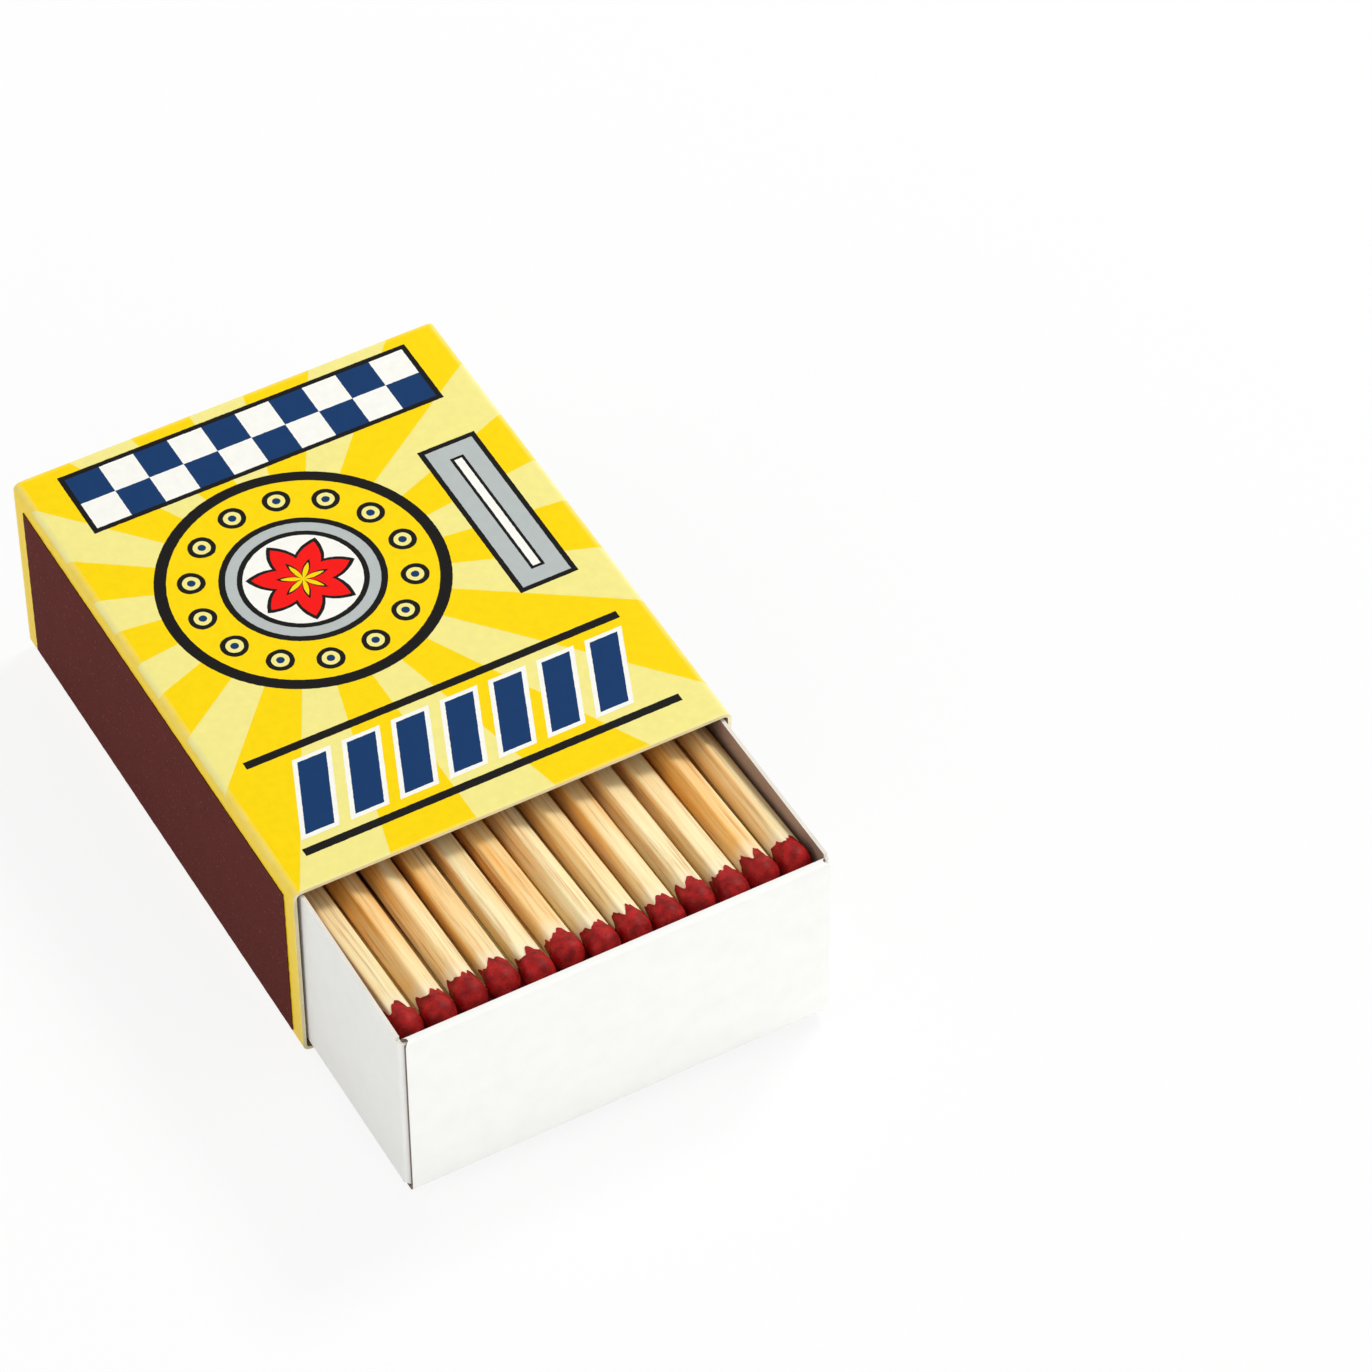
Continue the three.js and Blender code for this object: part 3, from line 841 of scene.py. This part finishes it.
def corner_tab(half, bottom, rim, x_side, y_side):
    """Outline (x, y) of a wall's end turning in behind the end panel, carried along z."""
    face_y = -half[1] + CARD - GLUE_LINE
    line, inward, _, _ = folded_outline([
        (-half[0], -half[1] + CARD + TAB_FOLD),
        (-half[0], face_y, TAB_FOLD),
        (-half[0] + TAB_LENGTH, face_y),
    ])
    up = np.linspace(bottom + TRAY_FOLD, rim - CARD, TAB_ROWS)

    def face(depth):
        spot = (line + depth * inward) * (-x_side, -y_side)
        grid = np.repeat(spot[:, None, :], len(up), 1)
        return np.concatenate([grid, np.broadcast_to(up[:, None], grid.shape[:2] + (1,))], -1)

    return slab(face(0.0), face(CARD))


def make_tray():
    """The channel, two rolled ends and four tabs, measured from the tray's middle and moved to its place."""
    half = (tray_high - tray_low)[:2] / 2
    bottom, rim = tray_low[2], tray_high[2]
    parts = [tray_channel(half, bottom, rim)]
    parts += [tray_end(half, bottom, rim, turn) for turn in (1, -1)]
    parts += [corner_tab(half, bottom, rim, x, y) for x in (-1, 1) for y in (-1, 1)]
    shift = np.array([tray_middle[0], tray_middle[1], 0])
    points, faces, side = joined(parts)
    return dress("tray_card", points + shift, [faces], "tray", "white_card",
                 [white_face, grey_back, cut_edge, core_and_gap_shadow], ["tray"], side)


tray_card = make_tray()
print("tray faces:", len(tray_card.data.polygons))


# %% [markdown]
# ## Split aspen
#
# Match splints are aspen, peeled from the log as veneer and chopped to square sticks. The wood is dry and
# dull. It keeps its pale cream on some faces and a tan streak on others, with fine darker fibres along it.
# The streaks are about a millimetre wide and twenty long, and the fibres are drawn far coarser than real
# ones, so that they show. Further along the stick the wood turns tanner: painted shade for the sleeve's
# mouth.
#
# The wood reads two values that each splint carries with it: where a point lies along and across its own
# stick, and a tone: the stick's own random tone, plus painted shade that makes its faces turned to the left,
# away from the key lamp, tanner. So the grain follows every stick however it lies.

# %% Splint material
STREAKS_PER_MM = (0.9, 0.05, 0.9)
WOOD_FIBRES_PER_MM = (2.8, 0.09, 2.8)
WOOD_RELIEF = 0.05


def aspen():
    """Split aspen: cream to tan by tone, streaks, and painted shade on faces and along the stick; palest at
    the dipped end.
    """
    material, tree = blank_material("split_aspen")
    grain = add(tree, "ShaderNodeAttribute", attribute_name="grain").node.outputs["Vector"]
    # The stick's own tone, with painted shade on its faces turned to the left.
    tone = add(tree, "ShaderNodeAttribute", attribute_name="warmth").node.outputs["Fac"]
    along = add(tree, "ShaderNodeSeparateXYZ", {0: grain}).node.outputs["Y"]
    wide = add(tree, "ShaderNodeVectorMath", {0: grain, 1: STREAKS_PER_MM}, operation="MULTIPLY")
    fine = add(tree, "ShaderNodeVectorMath", {0: grain, 1: WOOD_FIBRES_PER_MM}, operation="MULTIPLY")
    streaks = add(tree, "ShaderNodeTexNoise", {"Vector": wide, "Scale": 1.0, "Detail": 3.0})
    streaks_and_painted_shade = add(tree, "ShaderNodeMath", {0: streaks, 1: 1.5, 2: -0.75}, operation="MULTIPLY_ADD")
    # Painted shade: from 8 to 21 mm along the stick the wood turns tanner, where the sleeve's mouth shades
    # it.
    painted_mouth_shade = add(tree, "ShaderNodeMapRange", {0: along, 1: 8.0, 2: 21.0, 3: -0.12, 4: 0.22})
    streaks_and_painted_shade = add(tree, "ShaderNodeMath", {0: streaks_and_painted_shade, 1: painted_mouth_shade}, operation="ADD")
    blend = add(tree, "ShaderNodeMath", {0: tone, 1: streaks_and_painted_shade}, operation="ADD", use_clamp=True)
    colour = add(tree, "ShaderNodeMix", {0: blend, 6: linear("#FFF0BC"), 7: linear("#FFBC5A")},
                 data_type="RGBA")
    fibres = add(tree, "ShaderNodeTexNoise",
                 {"Vector": fine, "Scale": 1.0, "Detail": 4.0, "Roughness": 0.6})
    dark = add(tree, "ShaderNodeMapRange", {0: fibres, 1: 0.5, 2: 0.68, 3: 0.0, 4: 0.6})
    colour = add(tree, "ShaderNodeMix", {0: dark, 6: colour, 7: linear("#C87F38")}, data_type="RGBA")
    near = add(tree, "ShaderNodeMapRange", {0: along, 1: 4.0, 2: 6.0, 3: 0.55, 4: 0.0})
    colour = add(tree, "ShaderNodeMix", {0: near, 6: colour, 7: linear("#FFF3D2")}, data_type="RGBA")
    normal = add(tree, "ShaderNodeBump", {"Strength": 0.5, "Distance": WOOD_RELIEF * MM, "Height": fibres})
    finish_material(tree, colour, 0.66, normal, Specular_IOR_Level=0.3)
    return material


split_aspen = aspen()
print("wood:", split_aspen.name)


# %% [markdown]
# ## Where a stick lies
#
# The sticks lie in a slanting pile, each with its own turn and lean. None of that is typed here: the front
# and back of each stick, its axis and its roll are read off its solid.

# %% Where a stick lies
def solid_points(node):
    """Every corner of a solid's mesh, in millimetres."""
    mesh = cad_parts[node].data
    points = np.zeros(len(mesh.vertices) * 3)
    mesh.vertices.foreach_get("co", points)
    return points.reshape(-1, 3) / MM


def lie_of(node):
    """Where a splint lies: front and back middle, axis, side and up directions, and its half width.

    The side direction starts level across the box and is turned by the stick's own roll, found from its
    corners: angles of four corners add up in exp(4 i angle), whose own angle is four times the roll.
    """
    points = np.unique(np.round(solid_points(node), 4), axis=0)
    middle = points[:, 1].mean()
    front = points[points[:, 1] < middle].mean(0)
    back = points[points[:, 1] > middle].mean(0)
    axis = (back - front) / np.linalg.norm(back - front)
    level = np.array([1.0, 0, 0]) - axis[0] * axis
    level /= np.linalg.norm(level)
    rise = np.cross(level, axis)
    ring = points[points[:, 1] < middle] - front
    angle = np.arctan2(ring @ rise, ring @ level)
    roll = (np.angle(np.exp(4j * angle).mean()) - np.pi) / 4
    side = level * np.cos(roll) + rise * np.sin(roll)
    up = rise * np.cos(roll) - level * np.sin(roll)
    half = np.abs(ring @ side).max()
    return front, back, axis, side, up, half


first_front, first_back, *_ = lie_of("match_01_splint")
print("the first splint is", round(float(np.linalg.norm(first_back - first_front)), 1), "mm long")


# %% [markdown]
# ## The shape of a stick
#
# A chopped stick has a nearly square section with soft corners, r(a) = half / (|cos a|^p + |sin a|^p)^(1/p),
# faint ribs from the knife, and a slight bow. Its hidden end narrows where the paste closes over it. The
# section is carried from the head to the tail, and a point at each end closes it.

# %% Splints
SPLINT_POWER = 9.0
SPLINT_TURNS = 56
SPLINT_STATIONS = 26
TIP_TO_SPLINT = 0.75
END_TAPER = 1.25
END_SIZE = 0.8
TAIL_SIZE = 0.97
RIB_COUNTS = (9, 13, 17, 23)
RIB_DEPTH = 0.005
THINNING = 0.012
THINNING_PACE = (0.6, 1.6)
BOW = 0.05
OWN_GRAIN = 10.0
OWN_WARMTH = (0.05, 0.42)
# Painted shade: how much tanner the faces turned to the left are made, and how that varies from stick to
# stick.
LEFT_FACE_PAINTED_SHADE = 0.4
LEFT_FACE_SHADE_SPREAD = (-0.1, 0.2)
SPLINT_SEED = 100
ANY_PHASE = 6.3  # a full turn in radians, for a random start


def square_section(angle, power):
    """Radius of a rounded square of half width 1 at an angle."""
    return (np.abs(np.cos(angle)) ** power + np.abs(np.sin(angle)) ** power) ** (-1 / power)


def rod(rings, tip, tail):
    """Rings of points (n, sides, 3), closed by a point at each end. Returns points and groups of faces."""
    n, sides = rings.shape[:2]
    index = 1 + np.arange(n * sides).reshape(n, sides)
    index = np.concatenate([index, index[:, :1]], 1)
    last = 1 + n * sides
    nose = np.stack([np.zeros(sides, int), index[0, 1:], index[0, :-1]], -1)
    base = np.stack([np.full(sides, last), index[-1, :-1], index[-1, 1:]], -1)
    points = np.concatenate([tip[None], rings.reshape(-1, 3), tail[None]])
    return points, outward(points, [quads(index), nose, base])


def make_splint(number):
    """One stick: the rounded square, ribbed by a few sines of the angle and bowed by a half wave."""
    draw = np.random.default_rng(SPLINT_SEED + int(number))
    front, back, axis, side, up, half = lie_of(f"match_{number}_splint")
    length = np.linalg.norm(back - front)
    angle = np.linspace(0, 2 * np.pi, SPLINT_TURNS, endpoint=False)
    share = np.concatenate([[0, END_TAPER / length], np.linspace(0, 1, SPLINT_STATIONS)[1:], [1]])
    ribs = sum(draw.uniform(-1, 1) * np.sin(k * angle + draw.uniform(0, ANY_PHASE)) for k in RIB_COUNTS)
    swell = np.sin(4 * share * draw.uniform(*THINNING_PACE) + draw.uniform(0, ANY_PHASE))
    radius = half * square_section(angle, SPLINT_POWER) * (1 - RIB_DEPTH * (2 + ribs))
    size = radius * (1 - THINNING * (1 + swell))[:, None]
    size[0] *= END_SIZE
    size[-1] *= TAIL_SIZE
    bow = np.sin(np.pi * share)[:, None] * draw.uniform(-BOW, BOW, 2)
    middle = front + share[:, None] * (back - front) + bow[:, :1] * side + bow[:, 1:] * up
    rings = (middle[:, None, :] + (size * np.cos(angle))[..., None] * side
             + (size * np.sin(angle))[..., None] * up)
    points, groups = rod(rings, front, back)

    along = TIP_TO_SPLINT + share * length
    lift = OWN_GRAIN * int(number)
    across = [size * np.cos(angle), np.broadcast_to(along[:, None], size.shape), size * np.sin(angle) + lift]
    grain = np.stack(across, -1).reshape(-1, 3)
    grain = np.concatenate([[[0, along[0], lift]], grain, [[0, along[-1], lift]]])
    # Painted shade: faces turned to the left, away from the key lamp, are made tanner on top of the stick's
    # own tone.
    left_face_shade = np.clip(np.cos(angle - np.pi), 0, 1) ** 2
    own = draw.uniform(*OWN_WARMTH)
    warmth = own + (LEFT_FACE_PAINTED_SHADE + draw.uniform(*LEFT_FACE_SHADE_SPREAD)) * left_face_shade
    warmth = np.concatenate([[own], np.tile(warmth, len(share)), [own]])
    return points, groups, grain, warmth


print("a splint has", SPLINT_TURNS, "points round and", SPLINT_STATIONS + 2, "along")


# %% [markdown]
# ## Match paste
#
# The tips are dipped in a thick red paste of oxidiser, glass, glue and iron oxide, turned upright and dried.
# It dries matt and dark red, lighter on its lumps, with pinholes where bubbles broke. The lumps are about a
# millimetre across and the pinholes a third of that, somewhat coarser than real ones, so that they show.

# %% Head material
LUMPS_PER_MM = 0.9
PINHOLES_PER_MM = 2.6
PASTE_GRIT_PER_MM = 4.0
PASTE_RELIEF = 0.08


def dipped_compound():
    """Dried match paste: matt dark red, speckled, with small lumps and pinholes darkened as painted shade."""
    material, tree = blank_material("dipped_match_compound")
    place = millimetres(tree)
    lumps = add(tree, "ShaderNodeTexNoise", {"Vector": place, "Scale": LUMPS_PER_MM, "Detail": 4.0})
    colour = add(tree, "ShaderNodeValToRGB", {0: lumps})
    low, high = colour.node.color_ramp.elements
    low.position, low.color = 0.32, linear("#7A0C0E")
    high.position, high.color = 0.68, linear("#B8201E")
    specks = add(tree, "ShaderNodeTexVoronoi",
                 {"Vector": place, "Scale": PINHOLES_PER_MM, "Smoothness": 1.0}, feature="SMOOTH_F1")
    pit = add(tree, "ShaderNodeMapRange", {0: specks, 1: 0.08, 2: 0.26, 3: 0.5, 4: 0.0})
    # Painted shade: the pinholes are darkened, besides being dented by the bump.
    colour = add(tree, "ShaderNodeMix", {0: pit, 6: colour, 7: linear("#4A0708")}, data_type="RGBA")
    grit = add(tree, "ShaderNodeTexNoise", {"Vector": place, "Scale": PASTE_GRIT_PER_MM, "Detail": 4.0})
    relief = add(tree, "ShaderNodeMath", {0: pit, 1: -1.0, 2: grit}, operation="MULTIPLY_ADD")
    normal = add(tree, "ShaderNodeBump", {"Strength": 0.5, "Distance": PASTE_RELIEF * MM, "Height": relief})
    finish_material(tree, colour, 0.5, normal, Specular_IOR_Level=0.15)
    return material


match_paste = dipped_compound()
print("paste:", match_paste.name)


# %% [markdown]
# ## The shape of a head
#
# The paste draws itself into a drop: a round nose, a fat shoulder, and a waist that thins out on the stick.
# Its rim isn't straight. It runs further up the flat faces than the edges, and ends in small teeth where it
# soaks along the fibres. The profile goes from the tip over the shoulder to the rim, and back down the stick
# as a socket that fits it. Random lumps of a few hundredths are laid over it as waves of the angle, so the
# outline isn't a perfect turned shape.

# %% Heads
HEAD_SHOULDER = 1.7
HEAD_TONGUE = 1.1
HEAD_FILL = 0.98
RIM_SETBACK = 0.15
RIM_COAT = 0.07
RIM_LIP = 0.02
SOCKET_GAP = 0.005
RIM_TEETH = ((5, 0.28), (9, 0.2), (16, 0.1))
TEETH_SPREAD = (0.6, 1.3)
LUMP_WAVES = (2, 3, 4, 5, 7)
LUMP_HEIGHT = 0.055
LUMP_TWIST = 1.3
TWIST_PER_MM = 1.4
HEAD_SEED = 400
HEAD_TURNS = 48
NOSE_RINGS = 9
WAIST_RINGS = 14


def head_size(node, tip, axis):
    """A head's length along its axis and its greatest radius, measured on its solid."""
    away = solid_points(node) - tip
    along = away @ axis
    return along.max(), np.linalg.norm(away - along[:, None] * axis, axis=1).max()


def teeth(angle, draw):
    """A ragged line round the stick: a sum of zigzags of the angle, each (count, height), out of step."""
    line = 0
    for count, height in RIM_TEETH:
        phase = draw.uniform(0, 1)
        wave = (angle / (2 * np.pi) * count + phase) % 1
        line = line + height * (np.abs(2 * wave - 1) - 0.5) * 2 * draw.uniform(*TEETH_SPREAD)
    return line


def lumps_on(angle, y, length, draw):
    """Waves of the angle that twist along the head and die out at both ends."""
    lumps = 0
    for k in LUMP_WAVES:
        phase, pace = draw.uniform(0, ANY_PHASE, 2)
        twist = LUMP_TWIST * np.sin(TWIST_PER_MM * y + pace)
        lumps = lumps + draw.uniform(-1, 1) * np.sin(k * angle + phase + twist) / k
    return lumps * np.sin(np.pi * np.clip(y / length, 0, 1))


def make_head(number):
    """Rings (r, y) over the angle: a half-circle nose, a cosine waist to the ragged rim, then the socket."""
    draw = np.random.default_rng(HEAD_SEED + int(number))
    front, _, axis, side, up, half = lie_of(f"match_{number}_splint")
    tip = front - TIP_TO_SPLINT * axis
    length, widest = head_size(f"match_{number}_head", tip, axis)
    angle = np.linspace(0, 2 * np.pi, HEAD_TURNS, endpoint=False)
    square = half * square_section(angle, SPLINT_POWER)
    edges = np.abs(np.sin(2 * angle)) ** 3
    rim = length - RIM_SETBACK - HEAD_TONGUE * edges + teeth(angle, draw)
    widest = widest * HEAD_FILL

    climb = (np.pi / 2 * np.arange(1, NOSE_RINGS + 1) / NOSE_RINGS)[:, None]
    nose_y = HEAD_SHOULDER * (1 - np.cos(climb)) * np.ones_like(angle)
    nose_r = widest * np.sin(climb) * np.ones_like(angle)
    share = (np.arange(1, WAIST_RINGS + 1) / WAIST_RINGS)[:, None]
    waist_y = HEAD_SHOULDER + (rim - HEAD_SHOULDER) * share
    waist_r = widest + (square + RIM_COAT - widest) * (1 - np.cos(np.pi * share)) / 2
    outer_y = np.concatenate([nose_y, waist_y])
    outer_r = np.concatenate([nose_r, waist_r])
    outer_r = outer_r * (1 + LUMP_HEIGHT * lumps_on(angle, outer_y, length, draw))

    taper_y = np.full_like(rim, TIP_TO_SPLINT + END_TAPER)
    inner_y = np.stack([rim - RIM_LIP, taper_y, np.full_like(rim, TIP_TO_SPLINT)])
    inner_r = np.stack([square, square, END_SIZE * square]) + SOCKET_GAP
    y = np.concatenate([outer_y, inner_y])
    r = np.concatenate([outer_r, inner_r])
    rings = (tip + y[..., None] * axis + (r * np.cos(angle))[..., None] * side
             + (r * np.sin(angle))[..., None] * up)
    return rod(rings, tip, tip + TIP_TO_SPLINT * axis)


print("a head has", HEAD_TURNS, "points round and", NOSE_RINGS + WAIST_RINGS + 3, "rings")


# %% [markdown]
# ## Filling the tray
#
# The loose matches lie as the solids lie. Each draws its own random numbers from a seed, so no two are
# alike, yet every run gives the same ones.

# %% Put the matches in the tray
STICK_CREASE = 50

for number in match_numbers:
    points, groups, grain, warmth = make_splint(number)
    dress(f"splint_{number}", points, groups, "tray", "match_wood", [split_aspen],
          [f"match_{number}_splint"], crease=STICK_CREASE, grain=grain, warmth=warmth)
    points, groups = make_head(number)
    dress(f"dipped_head_{number}", points, groups, "tray", "match_head", [match_paste],
          [f"match_{number}_head"], crease=STICK_CREASE)
print("matches:", len(match_numbers))


# %% [markdown]
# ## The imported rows
#
# Under the two loose rows lie about sixty more matches, pressed together. Almost nothing of them shows, so
# they keep their solid. One material makes aspen and red paste of it, divided by how far a point lies from
# the tray's front, along a line that wanders.

# %% Packed rows
PASTE_LENGTH = 5.0
PASTE_WANDER = 1.6
PACKED_GRAIN = (1.2, 0.05, 1.2)


def packed_finish():
    """Aspen and paste in one: the paste ends PASTE_LENGTH behind the foremost tips, give or take."""
    material, tree = blank_material("packed_matches_wood_and_paste")
    place = millimetres(tree)
    front = float(extent("packed_matches")[0][1])
    along = add(tree, "ShaderNodeSeparateXYZ", {0: place}).node.outputs["Y"]
    noise = add(tree, "ShaderNodeTexNoise", {"Vector": place, "Scale": 1.4, "Detail": 2.0})
    edge = add(tree, "ShaderNodeMath", {0: noise, 1: PASTE_WANDER, 2: along}, operation="MULTIPLY_ADD")
    is_head = add(tree, "ShaderNodeMath", {0: edge, 1: front + PASTE_LENGTH}, operation="LESS_THAN")
    long_way = millimetres(tree, PACKED_GRAIN)
    streaks = add(tree, "ShaderNodeTexNoise", {"Vector": long_way, "Scale": 1.0, "Detail": 4.0})
    wood = add(tree, "ShaderNodeMix", {0: streaks, 6: linear("#F7DFA4"), 7: linear("#DDA05C")},
               data_type="RGBA")
    lumps = add(tree, "ShaderNodeTexNoise", {"Vector": place, "Scale": 1.2, "Detail": 4.0})
    paste = add(tree, "ShaderNodeMix", {0: lumps, 6: linear("#6E0B0D"), 7: linear("#A81C1B")},
                data_type="RGBA")
    colour = add(tree, "ShaderNodeMix", {0: is_head, 6: wood, 7: paste}, data_type="RGBA")
    normal = add(tree, "ShaderNodeBump", {"Strength": 0.5, "Distance": PASTE_RELIEF * MM, "Height": lumps})
    finish_material(tree, colour, 0.65, normal, Specular_IOR_Level=0.3)
    return material


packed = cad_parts["packed_matches"]
packed.data.materials.clear()
packed.data.materials.append(packed_finish())
print("packed rows:", packed.name)


# %% [markdown]
# ## Floor and surround
#
# The photograph shows the box on pure white with hardly a shadow. The floor here is a pale matt table top,
# and only rays that the eye follows see it brightened to white, so it lights the box no more than such a
# table would and still keeps a soft shadow. Rays that come off gloss or through glass see the same white.

# %% Floor and world
FLOOR_REACH = 3.0
FLOOR_DROP = 0.05
FLOOR_WHITENESS = 0.86
DOME_STRENGTH = 0.56


def seen_share(tree, share):
    """The share for rays that the eye follows: from the camera, or off gloss, or through glass. Else 0."""
    rays = add(tree, "ShaderNodeLightPath").node.outputs
    seen = add(tree, "ShaderNodeMath", {0: rays["Is Camera Ray"], 1: rays["Is Glossy Ray"]},
               operation="MAXIMUM")
    seen = add(tree, "ShaderNodeMath", {0: seen, 1: rays["Is Transmission Ray"]}, operation="MAXIMUM")
    return add(tree, "ShaderNodeMath", {0: seen, 1: share}, operation="MULTIPLY")


def make_floor():
    """A pale matt plane just under the box, FLOOR_REACH metres each way."""
    corners = [(x * FLOOR_REACH, y * FLOOR_REACH, (sleeve_low[2] - FLOOR_DROP) * MM)
               for x, y in ((-1, -1), (1, -1), (1, 1), (-1, 1))]
    mesh = bpy.data.meshes.new("floor")
    mesh.from_pydata(corners, [], [(0, 1, 2, 3)])
    floor = bpy.data.objects.new("floor", mesh)
    scene.collection.objects.link(floor)
    material, tree = blank_material("pale_matt_table")
    pale = add(tree, "ShaderNodeBsdfDiffuse", {"Color": linear("#F4F4F4")})
    white = add(tree, "ShaderNodeEmission", {"Color": (1, 1, 1, 1), "Strength": 1.0})
    whiteness = seen_share(tree, FLOOR_WHITENESS)
    surface = add(tree, "ShaderNodeMixShader", {0: whiteness, 1: pale, 2: white})
    add(tree, "ShaderNodeOutputMaterial", {"Surface": surface})
    mesh.materials.append(material)


def make_world():
    """An even white surround: dim as a light, white where the camera sees it."""
    world = bpy.data.worlds.new("studio")
    scene.world = world
    world.use_nodes = True
    tree = world.node_tree
    tree.nodes.clear()
    seen = seen_share(tree, 1.0)
    strength = add(tree, "ShaderNodeMapRange", {0: seen, 1: 0.0, 2: 1.0, 3: DOME_STRENGTH, 4: 1.0})
    sky = add(tree, "ShaderNodeBackground", {"Color": (1, 1, 1, 1), "Strength": strength})
    add(tree, "ShaderNodeOutputWorld", {"Surface": sky})


make_floor()
make_world()
print("floor reaches", FLOOR_REACH, "m each way")


# %% [markdown]
# ## Lamps
#
# The key hangs high on the right, well away from where the varnish would mirror it to the camera, because a
# mirrored lamp lays a grey veil over dark ink. Two low lamps fill the tray's front and left side and hardly
# reach between the matches, so the gaps stay dark. The left one is weaker, which leaves that side a shade
# greyer. Places and sizes are in metres, and powers in watts.

# %% Lamps
LAMP_AIM = (0.0, -0.01, 0.012)


def area_lamp(name, place, size, power):
    """A square lamp turned towards the box: tilted by the angle from straight up, then turned about z."""
    lamp = bpy.data.objects.new(name, bpy.data.lights.new(name, "AREA"))
    lamp.data.size = size
    lamp.data.energy = power
    lamp.location = place
    direction = np.array(place) - np.array(LAMP_AIM)
    lamp.rotation_euler = (math.acos(direction[2] / np.linalg.norm(direction)), 0,
                           math.atan2(direction[0], -direction[1]))
    scene.collection.objects.link(lamp)


area_lamp("key_right", (0.55, 0.2, 0.8), 0.25, 4.6)
area_lamp("fill_front", (0.25, -1.05, 0.14), 0.4, 3.8)
area_lamp("fill_left", (-1.05, -0.1, 0.4), 0.4, 1.9)


# %% [markdown]
# ## Camera
#
# The camera stands where the photograph was seen from: a long lens from the front left, looking down at
# about 48 degrees. The angle, distance and lens were worked out from the box's corners in the photograph
# and its real sizes, and the aim keeps the box at the same place in the frame.

# %% Camera
AZIMUTH = math.radians(-29.3)
ELEVATION = math.radians(47.7)
DISTANCE = 665.0
LENS = 166.4
SENSOR = 36.0
NEAREST = 10.0
AIM = np.array([28.5, -16.8, 12.0])


def make_camera():
    """A camera on a sphere round its aim point: aim + distance * (sin az cos el, -cos az cos el, sin el)."""
    back = np.array([math.sin(AZIMUTH) * math.cos(ELEVATION), -math.cos(AZIMUTH) * math.cos(ELEVATION),
                     math.sin(ELEVATION)])
    camera = bpy.data.objects.new("camera", bpy.data.cameras.new("camera"))
    camera.data.lens = LENS
    camera.data.sensor_width = SENSOR
    camera.data.clip_start = NEAREST * MM
    camera.location = (AIM + DISTANCE * back) * MM
    camera.rotation_euler = (math.pi / 2 - ELEVATION, 0, AZIMUTH)
    scene.collection.objects.link(camera)
    return camera


camera = make_camera()
bpy.context.scene.camera = camera
scene.view_settings.view_transform = "Standard"
print("camera at", [round(v, 3) for v in camera.location])
